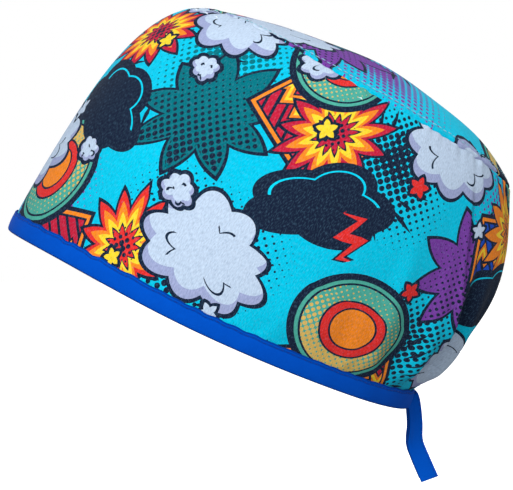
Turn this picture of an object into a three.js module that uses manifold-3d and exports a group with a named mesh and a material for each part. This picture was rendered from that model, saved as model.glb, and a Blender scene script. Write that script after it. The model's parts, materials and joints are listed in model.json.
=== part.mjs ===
// A tie-back scrub cap, as worn: an oval crown sewn to a deep side panel, whose lower edge is bound
// with folded tape. The tape ends run on as two short ties beside a slit at the centre back.
//
// Millimetres. The origin is the middle of the head opening. +Z is up as worn, -Y is the forehead,
// and +X is the wearer's left. The cap is drawn in its own frame, with the head opening level, and
// tilted back as a whole. The ties hang straight down, so they are drawn untilted.

import * as THREE from "three";
import { mergeVertices } from "three/addons/utils/BufferGeometryUtils.js";
import Module from "manifold-3d";

const wasm = await Module();
wasm.setup();

// Driving dimensions

const openingLength = 210; // head opening, forehead to nape, outside
const openingWidth = 160; // head opening, side to side, outside
const openingEgg = 0.03; // how much wider the back half of the opening is than the front half
const wornTilt = 24.8; // degrees that the nape sits lower than the forehead
const wallHeight = 134; // head opening up to the crown seam, at the forehead
const crownLength = 172; // crown seam, front to back
const crownWidth = 132; // crown seam, side to side
const crownSetback = 20; // crown's middle behind the opening's middle
const crownRise = 14; // top of the dome above the crown seam at the forehead
const clothThickness = 1.2;
const tapeWidth = 9.6; // folded binding tape, and each tie
const tapeThickness = 1.0; // one leaf of the folded tape
const tieThickness = 1.8; // the tape folded shut and stitched
const tieLength = 40; // how far the cut end hangs below the end of the binding
const tieCut = 7; // degrees that the cut end is off square
const slitHeight = 40; // centre back slit, from the edge of the opening
const slitWidth = 15;
const pieceGap = 0.3; // clearance between neighbouring pieces

// Mesh steps

const wallColumns = 112;
const crownColumns = 56;
const wallRows = 14;
const crownRows = 7;
const columnCrowding = 0.38; // above 0, columns stand closer together at the back, where the folds are
const tieSteps = 18;

// The form of the cap at five places from forehead (0 degrees) round one side to the nape (180).
// The other side mirrors it. Rises and drops are shares of wallHeight, and the crown's of crownRise.
// Outs are shares of half the opening's length, and ins of the way from the seam to the crown's top.
const sections = [
  {
    turn: 0, edgeRise: 0.004, seamRise: 1.009, bandOut: 0.003, bellyOut: -0.045, bellyRise: 0.4,
    shoulderOut: 0.265, shoulderDrop: 0.048, crownIn: 0.17, crownUp: 0.43, topRun: 0.35,
  },
  {
    turn: 45, edgeRise: 0.013, seamRise: 1.012, bandOut: -0.003, bellyOut: 0.01, bellyRise: 0.38,
    shoulderOut: 0.185, shoulderDrop: 0.085, crownIn: 0.18, crownUp: 0.28, topRun: 0.38,
  },
  {
    turn: 90, edgeRise: 0.0, seamRise: 0.965, bandOut: 0.01, bellyOut: 0.04, bellyRise: 0.34,
    shoulderOut: 0.165, shoulderDrop: 0.13, crownIn: 0.17, crownUp: 0.58, topRun: 0.41,
  },
  {
    turn: 135, edgeRise: 0.01, seamRise: 0.922, bandOut: 0.006, bellyOut: 0.14, bellyRise: 0.28,
    shoulderOut: 0.16, shoulderDrop: 0.165, crownIn: 0.13, crownUp: 0.75, topRun: 0.44,
  },
  {
    turn: 180, edgeRise: 0.024, seamRise: 0.882, bandOut: -0.009, bellyOut: 0.26, bellyRise: 0.28,
    shoulderOut: 0.122, shoulderDrop: 0.21, crownIn: 0.06, crownUp: 0.77, topRun: 0.44,
  },
];

// Gathers at the back, the same on both sides. Each is a ridge with a valley behind it, side by side
// along one line, and fades out upwards. Depth and breadth are shares of tapeWidth, and reach is the
// share of the wall's height over which the fold runs.
const folds = [
  { turn: 169, lean: 3, depth: 0.16, breadth: 0.5, reach: 0.62 },
  { turn: 154, lean: -7, depth: 0.42, breadth: 0.62, reach: 0.86 },
  { turn: 137, lean: -9, depth: 0.18, breadth: 0.8, reach: 0.7 },
  { turn: 119, lean: -7, depth: 0.1, breadth: 1.0, reach: 0.6 },
];
const foldStart = 0.1; // share of the wall's height over which every fold grows out of the binding

// The middle line of the near tie, from the binding's end to the cut end. Inward, back and down are
// shares of tieLength. Lift is the slope across the tape, and face is how far its flat side is turned
// from sideways, both in degrees.
const tieRoute = [
  { inward: 0.07, back: 0.0, down: 0.0, lift: 66, face: 40 },
  { inward: 0.075, back: 0.03, down: 0.06, lift: 40, face: 38 },
  { inward: 0.08, back: 0.05, down: 0.18, lift: 12, face: 36 },
  { inward: 0.085, back: 0.062, down: 0.34, lift: 0, face: 34 },
  { inward: 0.085, back: 0.068, down: 0.55, lift: 4, face: 33 },
  { inward: 0.08, back: 0.15, down: 0.77, lift: 22, face: 32 },
  { inward: 0.07, back: 0.25, down: 1.0, lift: 24, face: 31 },
];

// Small helpers

const radians = THREE.MathUtils.degToRad;

function cubic(a, b, c, d, t) {
  const s = 1 - t;
  return a * s * s * s + 3 * b * s * s * t + 3 * c * s * t * t + d * t * t * t;
}

function cubicPoint(a, b, c, d, t) {
  return new THREE.Vector3(cubic(a.x, b.x, c.x, d.x, t), cubic(a.y, b.y, c.y, d.y, t), cubic(a.z, b.z, c.z, d.z, t));
}

function shifted(point, direction, out, rise) {
  return point.clone().addScaledVector(direction, out).add(new THREE.Vector3(0, 0, rise));
}

// The value of one column of the section table at any turn, smooth all the way round.
function sectionValue(column, turn) {
  const last = sections.length - 1;
  const folded = Math.abs(THREE.MathUtils.euclideanModulo(turn + 180, 360) - 180);
  const place = (folded / 180) * last;
  const first = Math.min(Math.floor(place), last - 1);
  const at = (row) => sections[row < 0 ? -row : row > last ? 2 * last - row : row][column];
  const [a, b, c, d] = [at(first - 1), at(first), at(first + 1), at(first + 2)];
  const t = place - first;
  return b + 0.5 * t * (c - a + t * (2 * a - 5 * b + 4 * c - d + t * (3 * (b - c) + d - a)));
}

// The turn of a column, counted from the nape round past the forehead.
function turnOf(column, columns) {
  const even = (2 * Math.PI * column) / columns - Math.PI;
  return THREE.MathUtils.radToDeg(even + columnCrowding * Math.sin(even));
}

// The form

// The horizontal direction that the cap faces at this turn.
function outward(turn) {
  const a = radians(turn);
  return new THREE.Vector3(Math.sin(a) / openingWidth, -Math.cos(a) / openingLength, 0).normalize();
}

function openingEdge(turn) {
  const a = radians(turn);
  const halfWidth = (openingWidth / 2) * (1 - openingEgg * Math.cos(a));
  const rise = wallHeight * sectionValue("edgeRise", turn);
  return new THREE.Vector3(halfWidth * Math.sin(a), (-openingLength / 2) * Math.cos(a), rise);
}

function crownSeam(turn) {
  const a = radians(turn);
  const rise = wallHeight * sectionValue("seamRise", turn);
  return new THREE.Vector3((crownWidth / 2) * Math.sin(a), crownSetback - (crownLength / 2) * Math.cos(a), rise);
}

// How far the folds push the cloth outwards, in mm.
function foldOffset(turn, share) {
  let offset = 0;
  for (const fold of folds) {
    const line = fold.turn + fold.lean * share;
    const away = (radians(Math.abs(turn) - line) * openingWidth) / 2 / (fold.breadth * tapeWidth);
    const ridge = -away * Math.exp(0.5 * (1 - away * away)); // 1 at one breadth before the line, -1 behind
    const growth = THREE.MathUtils.smoothstep(share, 0, foldStart);
    const fade = 1 - THREE.MathUtils.smoothstep(share, 0, fold.reach);
    offset += fold.depth * tapeWidth * ridge * growth * fade;
  }
  return offset;
}

// The side panel's outer face without its folds: share runs from the top of the binding, 0, to the
// crown seam, 1. From 0 to -1 it runs down inside the binding to the edge of the opening.
function wallPoint(turn, share) {
  const half = openingLength / 2;
  const direction = outward(turn);
  const edge = openingEdge(turn);
  const bandTop = shifted(edge, direction, half * sectionValue("bandOut", turn), tapeWidth);
  if (share < 0) return bandTop.lerp(edge, -share);
  const seam = crownSeam(turn);
  const bellyRise = wallHeight * sectionValue("bellyRise", turn);
  const belly = shifted(bandTop, direction, half * sectionValue("bellyOut", turn), bellyRise);
  const shoulderDrop = wallHeight * sectionValue("shoulderDrop", turn);
  const shoulder = shifted(seam, direction, half * sectionValue("shoulderOut", turn), -shoulderDrop);
  return cubicPoint(bandTop, belly, shoulder, seam, share);
}

// The crown's outer face: share runs from the seam, 0, to the top of the dome, 1.
function crownPoint(turn, share) {
  const seam = crownSeam(turn);
  const top = new THREE.Vector3(0, crownSetback, wallHeight + crownRise);
  const first = seam.clone().lerp(new THREE.Vector3(top.x, top.y, seam.z), sectionValue("crownIn", turn));
  first.z += crownRise * sectionValue("crownUp", turn);
  const second = top.clone().lerp(new THREE.Vector3(seam.x, seam.y, top.z), sectionValue("topRun", turn));
  return cubicPoint(seam, first, second, top, share);
}

// The unit normal of either face, pointing out of the cap.
function faceNormal(face, turn, share) {
  const turnStep = 0.5;
  const shareStep = 0.004;
  const round = face(turn + turnStep, share).sub(face(turn - turnStep, share));
  const up = face(turn, share + shareStep).sub(face(turn, Math.max(share - shareStep, -1)));
  return round.cross(up).normalize();
}

// Closed solids from points

function toSolid(geometry) {
  const bare = geometry.clone();
  bare.deleteAttribute("normal");
  bare.deleteAttribute("uv");
  const merged = mergeVertices(bare, 1e-4);
  return new wasm.Manifold(
    new wasm.Mesh({
      numProp: 3,
      vertProperties: merged.attributes.position.array,
      triVerts: new Uint32Array(merged.index.array),
    }),
  );
}

function fromSolid(solid) {
  const mesh = solid.getMesh();
  const geometry = new THREE.BufferGeometry();
  geometry.setAttribute("position", new THREE.BufferAttribute(mesh.vertProperties, 3));
  geometry.setIndex(new THREE.BufferAttribute(mesh.triVerts, 1));
  geometry.computeVertexNormals();
  return geometry;
}

// A geometry from points and triangles that close it, with its faces turned outwards.
function closedGeometry(points, index) {
  const geometry = new THREE.BufferGeometry();
  geometry.setAttribute("position", new THREE.Float32BufferAttribute(points.flatMap((p) => p.toArray()), 3));
  geometry.setIndex(index);
  if (toSolid(geometry).volume() > 0) return geometry;
  const reversed = [];
  for (let i = 0; i < index.length; i += 3) reversed.push(index[i], index[i + 2], index[i + 1]);
  geometry.setIndex(reversed);
  return geometry;
}

// A tube of equal rings. It either joins its last ring to its first, or is closed with end faces,
// which take their triangles from the flat outline.
function tube(rings, endOutline) {
  const count = rings[0].length;
  const last = rings.length - 1;
  const id = (ring, point) => (ring % rings.length) * count + (point % count);
  const index = [];
  const steps = endOutline ? last : rings.length;
  for (let r = 0; r < steps; r++) {
    for (let p = 0; p < count; p++) {
      index.push(id(r, p), id(r, p + 1), id(r + 1, p + 1));
      index.push(id(r, p), id(r + 1, p + 1), id(r + 1, p));
    }
  }
  const ends = endOutline ? THREE.ShapeUtils.triangulateShape(endOutline, []) : [];
  for (const [a, b, c] of ends) {
    index.push(id(0, a), id(0, c), id(0, b));
    index.push(id(last, a), id(last, b), id(last, c));
  }
  return closedGeometry(rings.flat(), index);
}

// Sub-parts

// The keyhole of the centre back slit: straight sides that close in a round top.
function slitCutter() {
  const half = slitWidth / 2;
  const shape = new THREE.Shape();
  shape.moveTo(-half, -tapeWidth);
  shape.lineTo(half, -tapeWidth);
  shape.lineTo(half, tapeWidth);
  shape.quadraticCurveTo(half, slitHeight, 0, slitHeight);
  shape.quadraticCurveTo(-half, slitHeight, -half, tapeWidth);
  shape.closePath();
  const depth = openingLength;
  const geometry = new THREE.ExtrudeGeometry(shape, { depth, bevelEnabled: false, curveSegments: 5 });
  geometry.rotateX(Math.PI / 2);
  geometry.translate(0, depth + crownSetback, 0);
  return toSolid(geometry);
}

// The deep panel round the head, from inside the binding up to the crown seam, with its slit.
function sidePanel() {
  const hem = tapeThickness + pieceGap; // the raw edge stands this far above the fold of the tape
  const shares = [hem / tapeWidth - 1];
  for (let row = 0; row <= wallRows; row++) shares.push(row / wallRows);
  const outer = (turn, share) => wallPoint(turn, share).addScaledVector(outward(turn), foldOffset(turn, share));
  const inner = (turn, share) =>
    outer(turn, share).addScaledVector(faceNormal(wallPoint, turn, share), -clothThickness);
  const rings = [];
  for (let column = 0; column < wallColumns; column++) {
    const turn = turnOf(column, wallColumns);
    const up = shares.map((share) => outer(turn, share));
    const down = shares.map((share) => inner(turn, share)).reverse();
    rings.push([...up, ...down]);
  }
  return fromSolid(toSolid(tube(rings)).subtract(slitCutter()));
}

// The oval top, which starts one gap inside the seam.
function crownPanel() {
  const probe = 0.1; // share of the crown's run over which its slope at the seam is taken
  const points = [];
  for (const depth of [0, clothThickness]) {
    for (let row = 0; row < crownRows; row++) {
      for (let column = 0; column < crownColumns; column++) {
        const turn = turnOf(column, crownColumns);
        const run = crownPoint(turn, 0).distanceTo(crownPoint(turn, probe)) / probe;
        const start = pieceGap / run;
        const share = start + (1 - start) * (row / crownRows);
        points.push(crownPoint(turn, share).addScaledVector(faceNormal(crownPoint, turn, share), -depth));
      }
    }
  }
  const tops = [points.length, points.length + 1];
  points.push(crownPoint(0, 1), shifted(crownPoint(0, 1), new THREE.Vector3(), 0, -clothThickness));
  const id = (row, column) => row * crownColumns + (column % crownColumns);
  const index = [];
  const quad = (a, b, c, d) => index.push(a, b, c, a, c, d);
  for (let c = 0; c < crownColumns; c++) {
    for (let row = 0; row < crownRows - 1; row++) {
      const under = row + crownRows;
      quad(id(row, c), id(row, c + 1), id(row + 1, c + 1), id(row + 1, c));
      quad(id(under, c + 1), id(under, c), id(under + 1, c), id(under + 1, c + 1));
    }
    quad(id(crownRows, c), id(crownRows, c + 1), id(0, c + 1), id(0, c));
    index.push(id(crownRows - 1, c), id(crownRows - 1, c + 1), tops[0]);
    index.push(id(2 * crownRows - 1, c + 1), id(2 * crownRows - 1, c), tops[1]);
  }
  return fromSolid(toSolid(closedGeometry(points, index)));
}

// The turn at which the binding ends, beside the slit.
const bindingEnd = 180 - THREE.MathUtils.radToDeg(Math.asin(slitWidth / openingWidth));

// The folded tape round the opening: an outer leaf and an inner leaf, joined by the fold below.
function rimBinding() {
  const outerFace = pieceGap + tapeThickness;
  const innerLeaf = -(clothThickness + pieceGap);
  const innerFace = innerLeaf - tapeThickness;
  const bevel = tapeThickness / 2;
  const outline = [
    new THREE.Vector2(outerFace, bevel),
    new THREE.Vector2(outerFace, tapeWidth),
    new THREE.Vector2(pieceGap, tapeWidth),
    new THREE.Vector2(pieceGap, tapeThickness),
    new THREE.Vector2(innerLeaf, tapeThickness),
    new THREE.Vector2(innerLeaf, tapeWidth),
    new THREE.Vector2(innerFace, tapeWidth),
    new THREE.Vector2(innerFace, bevel),
    new THREE.Vector2(innerFace + bevel, 0),
    new THREE.Vector2(outerFace - bevel, 0),
  ];
  const turns = [-bindingEnd];
  for (let column = 0; column < wallColumns; column++) {
    const turn = turnOf(column, wallColumns);
    if (Math.abs(turn) < bindingEnd) turns.push(turn);
  }
  turns.push(bindingEnd);
  const rings = turns.map((turn) => {
    const normal = faceNormal(wallPoint, turn, -0.5);
    return outline.map(({ x, y }) => wallPoint(turn, y / tapeWidth - 1).addScaledVector(normal, x));
  });
  return tube(rings, outline);
}

// A tie: the same tape folded shut, hanging from the binding's end. Side is 1 at the wearer's left.
function tie(side) {
  const start = wallPoint(bindingEnd, -0.5);
  start.applyAxisAngle(new THREE.Vector3(1, 0, 0), -radians(wornTilt));
  const rowCurve = (column) => new THREE.SplineCurve(tieRoute.map((row, i) => new THREE.Vector2(i, row[column])));
  const [inward, back, down, lift, face] = ["inward", "back", "down", "lift", "face"].map(rowCurve);
  const middleAt = (t) =>
    new THREE.Vector3(
      start.x - pieceGap - tieLength * inward.getPoint(t).y,
      start.y + tieLength * back.getPoint(t).y,
      start.z - tieLength * down.getPoint(t).y,
    );
  const outline = tieOutline();
  const rings = [];
  for (let step = 0; step <= tieSteps; step++) {
    const t = step / tieSteps;
    const run = middleAt(Math.min(t + 1 / tieSteps, 1)).sub(middleAt(Math.max(t - 1 / tieSteps, 0))).normalize();
    const slope = radians(lift.getPoint(t).y);
    const turned = radians(face.getPoint(t).y);
    const across = new THREE.Vector3(
      -Math.sin(turned) * Math.cos(slope),
      Math.cos(turned) * Math.cos(slope),
      Math.sin(slope),
    );
    across.addScaledVector(run, -across.dot(run)).normalize();
    const thick = run.clone().cross(across);
    const cut = step === tieSteps ? Math.tan(radians(tieCut)) : 0;
    rings.push(
      outline.map(({ x, y }) => {
        const point = middleAt(t).addScaledVector(across, x).addScaledVector(thick, y);
        point.addScaledVector(run, cut * x);
        return new THREE.Vector3(side * point.x, point.y, point.z);
      }),
    );
  }
  return tube(rings, outline);
}

// The tie's section: a flat strip with bevelled edges.
function tieOutline() {
  const half = tapeWidth / 2;
  const thick = tieThickness / 2;
  const bevel = thick / 2;
  return [
    new THREE.Vector2(-half, -bevel),
    new THREE.Vector2(-half + bevel, -thick),
    new THREE.Vector2(half - bevel, -thick),
    new THREE.Vector2(half, -bevel),
    new THREE.Vector2(half, bevel),
    new THREE.Vector2(half - bevel, thick),
    new THREE.Vector2(-half + bevel, thick),
    new THREE.Vector2(-half, bevel),
  ];
}

// Assembly

const printedCotton = { color: 0x1fc3dd, roughness: 0.85, metalness: 0 };
const blueTape = { color: 0x0a4fd0, roughness: 0.75, metalness: 0 };

function piece(name, geometry, look) {
  const mesh = new THREE.Mesh(geometry, new THREE.MeshStandardMaterial(look));
  mesh.name = name;
  return mesh;
}

const tiltedCap = new THREE.Group();
tiltedCap.rotation.x = -radians(wornTilt);
tiltedCap.add(
  piece("crown_panel", crownPanel(), printedCotton),
  piece("side_panel", sidePanel(), printedCotton),
  piece("rim_binding", rimBinding(), blueTape),
);

const scrubCap = new THREE.Group();
scrubCap.add(tiltedCap, piece("tie_left", tie(1), blueTape), piece("tie_right", tie(-1), blueTape));

export default scrubCap;
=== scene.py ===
"""Looks of a tie-back scrub cap: printed cotton, folded blue tape and its stitching.

Metres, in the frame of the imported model. The cap's own frame has the head opening level, and
CapForm.tilted brings its points into the shared frame.
"""

import json
import logging
import math
from dataclasses import dataclass, field
from enum import Enum
from functools import partial

import bmesh
import bpy
import numpy as np
from mathutils import Euler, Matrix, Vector

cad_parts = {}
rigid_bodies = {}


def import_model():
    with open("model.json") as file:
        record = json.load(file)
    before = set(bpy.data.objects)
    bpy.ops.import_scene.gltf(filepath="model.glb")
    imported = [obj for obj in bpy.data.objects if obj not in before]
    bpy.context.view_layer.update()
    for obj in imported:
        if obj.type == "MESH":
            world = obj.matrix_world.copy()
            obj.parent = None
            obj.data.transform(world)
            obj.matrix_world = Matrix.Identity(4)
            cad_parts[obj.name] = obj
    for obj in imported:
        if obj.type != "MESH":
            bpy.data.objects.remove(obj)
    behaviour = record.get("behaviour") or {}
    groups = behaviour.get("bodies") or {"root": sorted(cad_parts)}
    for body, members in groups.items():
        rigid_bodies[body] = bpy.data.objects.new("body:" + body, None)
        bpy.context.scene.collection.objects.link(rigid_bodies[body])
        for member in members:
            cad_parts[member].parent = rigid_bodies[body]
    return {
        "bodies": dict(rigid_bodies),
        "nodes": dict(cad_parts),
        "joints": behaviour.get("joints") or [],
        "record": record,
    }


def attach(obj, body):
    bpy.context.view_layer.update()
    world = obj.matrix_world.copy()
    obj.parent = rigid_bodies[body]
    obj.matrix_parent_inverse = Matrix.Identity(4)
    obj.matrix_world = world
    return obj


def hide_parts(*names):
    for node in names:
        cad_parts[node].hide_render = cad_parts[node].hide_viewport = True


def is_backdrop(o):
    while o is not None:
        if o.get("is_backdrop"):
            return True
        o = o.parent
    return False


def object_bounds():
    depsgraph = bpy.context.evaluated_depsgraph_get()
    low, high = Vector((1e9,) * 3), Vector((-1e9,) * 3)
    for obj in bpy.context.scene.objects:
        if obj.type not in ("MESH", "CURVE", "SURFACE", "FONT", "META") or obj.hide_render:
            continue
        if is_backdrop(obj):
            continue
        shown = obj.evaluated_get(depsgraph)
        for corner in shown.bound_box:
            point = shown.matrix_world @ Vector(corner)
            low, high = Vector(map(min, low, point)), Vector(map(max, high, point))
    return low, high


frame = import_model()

log = logging.getLogger("scrub_cap")

Colour = tuple[float, float, float, float]
Pair = tuple[float, float]

MM = 0.001
PRINT_UV = "print"
WELD_DISTANCE = 1e-6
SHEEN_ROUGHNESS = 0.5


def srgb(red: int, green: int, blue: int) -> Colour:
    """A screen colour as a linear colour.

    Args:
        red, green, blue: the screen colour's parts, from 0 to 255.

    Returns:
        The linear colour, with its alpha at 1.
    """
    shares = [c / 255 for c in (red, green, blue)]
    linear = [s / 12.92 if s <= 0.04045 else ((s + 0.055) / 1.055) ** 2.4 for s in shares]
    return (*linear, 1.0)


# Form of the cap, as in the part's source. Each column has its values at 0, 45, 90, 135 and 180 degrees.

SECTIONS: dict[str, tuple[float, ...]] = {
    "edge_rise": (0.004, 0.013, 0.0, 0.01, 0.024),
    "seam_rise": (1.009, 1.012, 0.965, 0.922, 0.882),
    "band_out": (0.003, -0.003, 0.01, 0.006, -0.009),
    "belly_out": (-0.045, 0.01, 0.04, 0.14, 0.26),
    "belly_rise": (0.4, 0.38, 0.34, 0.28, 0.28),
    "shoulder_out": (0.265, 0.185, 0.165, 0.16, 0.122),
    "shoulder_drop": (0.048, 0.085, 0.13, 0.165, 0.21),
    "crown_in": (0.17, 0.18, 0.17, 0.13, 0.06),
    "crown_up": (0.43, 0.28, 0.58, 0.75, 0.77),
    "top_run": (0.35, 0.38, 0.41, 0.44, 0.44),
}


@dataclass(frozen=True)
class Fold:
    """A gather at the back: a ridge with a valley behind it, which fades out upwards.

    Turn and lean are in degrees, depth and breadth in tape widths, and reach is a share of the panel.
    """

    turn: float
    lean: float
    depth: float
    breadth: float
    reach: float


FOLDS = (
    Fold(169, 3, 0.16, 0.5, 0.62),
    Fold(154, -7, 0.42, 0.62, 0.86),
    Fold(137, -9, 0.18, 0.8, 0.7),
    Fold(119, -7, 0.1, 1.0, 0.6),
)


@dataclass(frozen=True)
class TieStop:
    """One place on a tie's middle line, as shares of the tie's length.

    Lift is the slope of the tape's width and face is the way it faces, both in degrees.
    """

    inward: float
    back: float
    down: float
    lift: float
    face: float


TIE_ROUTE = (
    TieStop(0.07, 0.0, 0.0, 66, 40),
    TieStop(0.075, 0.03, 0.06, 40, 38),
    TieStop(0.08, 0.05, 0.18, 12, 36),
    TieStop(0.085, 0.062, 0.34, 0, 34),
    TieStop(0.085, 0.068, 0.55, 4, 33),
    TieStop(0.08, 0.15, 0.77, 22, 32),
    TieStop(0.07, 0.25, 1.0, 24, 31),
)


def bezier(a: np.ndarray, b: np.ndarray, c: np.ndarray, d: np.ndarray, t: np.ndarray) -> np.ndarray:
    """Points on cubic curves.

    Args:
        a, b, c, d: the curves' control points.
        t: places along the curves, from 0 to 1.

    Returns:
        One point for each value of t.
    """
    t = t[..., None]
    s = 1 - t
    return a * s**3 + 3 * b * s * s * t + 3 * c * s * t * t + d * t**3


def curve_through(values: np.ndarray, place: np.ndarray) -> np.ndarray:
    """A smooth curve through evenly spaced values.

    Args:
        values: the values, with one more before the first and one more after the last.
        place: places along the curve, 0 at its first value and 1 at the next.

    Returns:
        The curve's value at each place.
    """
    first = np.minimum(place.astype(int), len(values) - 4)
    a, b, c, d = (values[first + i] for i in range(4))
    t = place - first
    return b + 0.5 * t * (c - a + t * (2 * a - 5 * b + 4 * c - d + t * (3 * (b - c) + d - a)))


def smooth_step(value: np.ndarray, low: float, high: float) -> np.ndarray:
    """0 below low, 1 above high, and an even blend between."""
    t = np.clip((value - low) / (high - low), 0, 1)
    return t * t * (3 - 2 * t)


def within(value: np.ndarray, spans: tuple[Pair, Pair]) -> np.ndarray:
    """Rises from 0 to 1 over the first span and falls back to 0 over the second."""
    rise, fall = spans
    return smooth_step(value, *rise) * (1 - smooth_step(value, *fall))


def unit(vectors: np.ndarray) -> np.ndarray:
    """The vectors at length 1."""
    return vectors / np.linalg.norm(vectors, axis=-1, keepdims=True)


@dataclass(frozen=True)
class CapForm:
    """The cap's outer faces, as the part's source gives them, in metres and degrees.

    The probes and the approach are the small steps over which directions are measured.
    """

    opening_length: float = 0.210
    opening_width: float = 0.160
    opening_egg: float = 0.03
    worn_tilt: float = 24.8
    wall_height: float = 0.134
    crown_length: float = 0.172
    crown_width: float = 0.132
    crown_setback: float = 0.020
    crown_rise: float = 0.014
    tape_width: float = 0.0096
    slit_height: float = 0.040
    slit_width: float = 0.015
    fold_start: float = 0.1
    column_crowding: float = 0.38
    probe_turn: float = 0.5
    probe_share: float = 0.008
    approach: float = 0.03

    def section(self, name: str, turn: np.ndarray) -> np.ndarray:
        """The value of one column of the section table.

        Args:
            name: the column.
            turn: degrees round from the forehead.

        Returns:
            The column's value at each turn, smooth all the way round.
        """
        values = SECTIONS[name]
        place = np.abs((turn + 180) % 360 - 180) / 180 * (len(values) - 1)
        return curve_through(np.array((values[1], *values, values[-2])), place)

    def outward(self, turn: np.ndarray) -> np.ndarray:
        """The level direction that the cap faces.

        Args:
            turn: degrees round from the forehead.

        Returns:
            A unit vector for each turn.
        """
        a = np.radians(turn)
        flat = np.stack((np.sin(a) / self.opening_width, -np.cos(a) / self.opening_length, 0 * a), axis=-1)
        return unit(flat)

    def edge(self, turn: np.ndarray) -> np.ndarray:
        """The edge of the head opening.

        Args:
            turn: degrees round from the forehead.

        Returns:
            Its point at each turn, in the cap's own frame.
        """
        a = np.radians(turn)
        half_width = self.opening_width / 2 * (1 - self.opening_egg * np.cos(a))
        rise = self.wall_height * self.section("edge_rise", turn)
        return np.stack((half_width * np.sin(a), -self.opening_length / 2 * np.cos(a), rise), axis=-1)

    def seam(self, turn: np.ndarray) -> np.ndarray:
        """The crown seam.

        Args:
            turn: degrees round from the forehead.

        Returns:
            Its point at each turn, in the cap's own frame.
        """
        a = np.radians(turn)
        across = self.crown_width / 2 * np.sin(a)
        along = self.crown_setback - self.crown_length / 2 * np.cos(a)
        return np.stack((across, along, self.wall_height * self.section("seam_rise", turn)), axis=-1)

    def fold_offset(self, turn: np.ndarray, share: np.ndarray) -> np.ndarray:
        """How far the gathers push the cloth outwards.

        Args:
            turn: degrees round from the forehead.
            share: 0 at the top of the binding, 1 at the crown seam.

        Returns:
            The offset in metres.
        """
        offset = np.zeros_like(turn)
        for fold in FOLDS:
            line = fold.turn + fold.lean * share
            breadth = fold.breadth * self.tape_width
            away = np.radians(np.abs(turn) - line) * self.opening_width / 2 / breadth
            ridge = -away * np.exp(0.5 * (1 - away * away))
            fade = within(share, ((0, self.fold_start), (0, fold.reach)))
            offset += fold.depth * self.tape_width * ridge * fade
        return offset

    def wall(self, turn: np.ndarray, share: np.ndarray) -> np.ndarray:
        """Points on the side panel's outer face, without its folds.

        Args:
            turn: degrees round from the forehead.
            share: 0 at the top of the binding, 1 at the crown seam, -1 at the edge of the opening.

        Returns:
            The points in the cap's own frame.
        """
        turn, share = np.broadcast_arrays(np.asarray(turn, float), np.asarray(share, float))
        half = self.opening_length / 2
        direction = self.outward(turn)
        up = np.array((0.0, 0.0, 1.0))

        def shifted(base: np.ndarray, out: str, rise: np.ndarray) -> np.ndarray:
            """The base pushed out by a column of the table and up by a rise."""
            return base + direction * (half * self.section(out, turn))[..., None] + up * rise[..., None]

        edge = self.edge(turn)
        seam = self.seam(turn)
        band = shifted(edge, "band_out", np.full_like(turn, self.tape_width))
        belly = shifted(band, "belly_out", self.wall_height * self.section("belly_rise", turn))
        shoulder = shifted(seam, "shoulder_out", -self.wall_height * self.section("shoulder_drop", turn))
        below = band + (edge - band) * np.clip(-share, 0, 1)[..., None]
        above = bezier(band, belly, shoulder, seam, np.clip(share, 0, 1))
        return np.where(share[..., None] < 0, below, above)

    def crown(self, turn: np.ndarray, share: np.ndarray) -> np.ndarray:
        """Points on the crown's outer face.

        Args:
            turn: degrees round from the forehead.
            share: 0 at the seam, 1 at the top of the dome.

        Returns:
            The points in the cap's own frame.
        """
        turn, share = np.broadcast_arrays(np.asarray(turn, float), np.asarray(share, float))
        seam = self.seam(turn)
        top = np.array((0.0, self.crown_setback, self.wall_height + self.crown_rise))
        level = np.stack((0 * turn + top[0], 0 * turn + top[1], seam[..., 2]), axis=-1)
        first = seam + (level - seam) * self.section("crown_in", turn)[..., None]
        first[..., 2] += self.crown_rise * self.section("crown_up", turn)
        above = np.stack((seam[..., 0], seam[..., 1], 0 * turn + top[2]), axis=-1)
        second = top + (above - top) * self.section("top_run", turn)[..., None]
        return bezier(seam, first, second, top, share)

    def wall_normal(self, turn: np.ndarray, share: np.ndarray) -> np.ndarray:
        """The side panel's normal.

        Args:
            turn: degrees round from the forehead.
            share: the height, as wall takes it.

        Returns:
            Unit vectors that point out of the cap.
        """
        turn, share = np.broadcast_arrays(np.asarray(turn, float), np.asarray(share, float))
        around = self.wall(turn + self.probe_turn, share) - self.wall(turn - self.probe_turn, share)
        low = np.clip(share - self.probe_share / 2, -1, 1 - self.probe_share)
        return unit(np.cross(around, self.wall(turn, low + self.probe_share) - self.wall(turn, low)))

    def wall_upward(self, turn: np.ndarray) -> np.ndarray:
        """The unit direction in which the side panel reaches the crown seam."""
        near = np.full_like(turn, 1 - self.approach)
        return unit(self.wall(turn, np.ones_like(turn)) - self.wall(turn, near))

    def slit_half(self, rise: np.ndarray) -> np.ndarray:
        """Half the width of the centre back slit.

        Args:
            rise: the height over the opening, in metres.

        Returns:
            The half width at each height, which is 0 above the slit.
        """
        run = np.clip((self.slit_height - rise) / (self.slit_height - self.tape_width), 0, 1)
        t = 1 - np.sqrt(run)
        return self.slit_width / 2 * (1 - t * t) * (rise < self.slit_height)

    def spread(self, count: int) -> np.ndarray:
        """Turns from -180 to 180 degrees, closer together at the back."""
        even = np.linspace(-math.pi, math.pi, count)
        return np.degrees(even + self.column_crowding * np.sin(even))

    def tilted(self, points: np.ndarray) -> np.ndarray:
        """Points brought into the shared frame, tilted back as worn.

        Args:
            points: any number of points in the cap's own frame.

        Returns:
            The same points in the shared frame.
        """
        a = math.radians(self.worn_tilt)
        x, y, z = points[..., 0], points[..., 1], points[..., 2]
        return np.stack((x, y * math.cos(a) + z * math.sin(a), z * math.cos(a) - y * math.sin(a)), axis=-1)

    @property
    def binding_end(self) -> float:
        """The turn at which the binding ends, beside the slit."""
        return 180 - math.degrees(math.asin(self.slit_width / self.opening_width))


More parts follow.
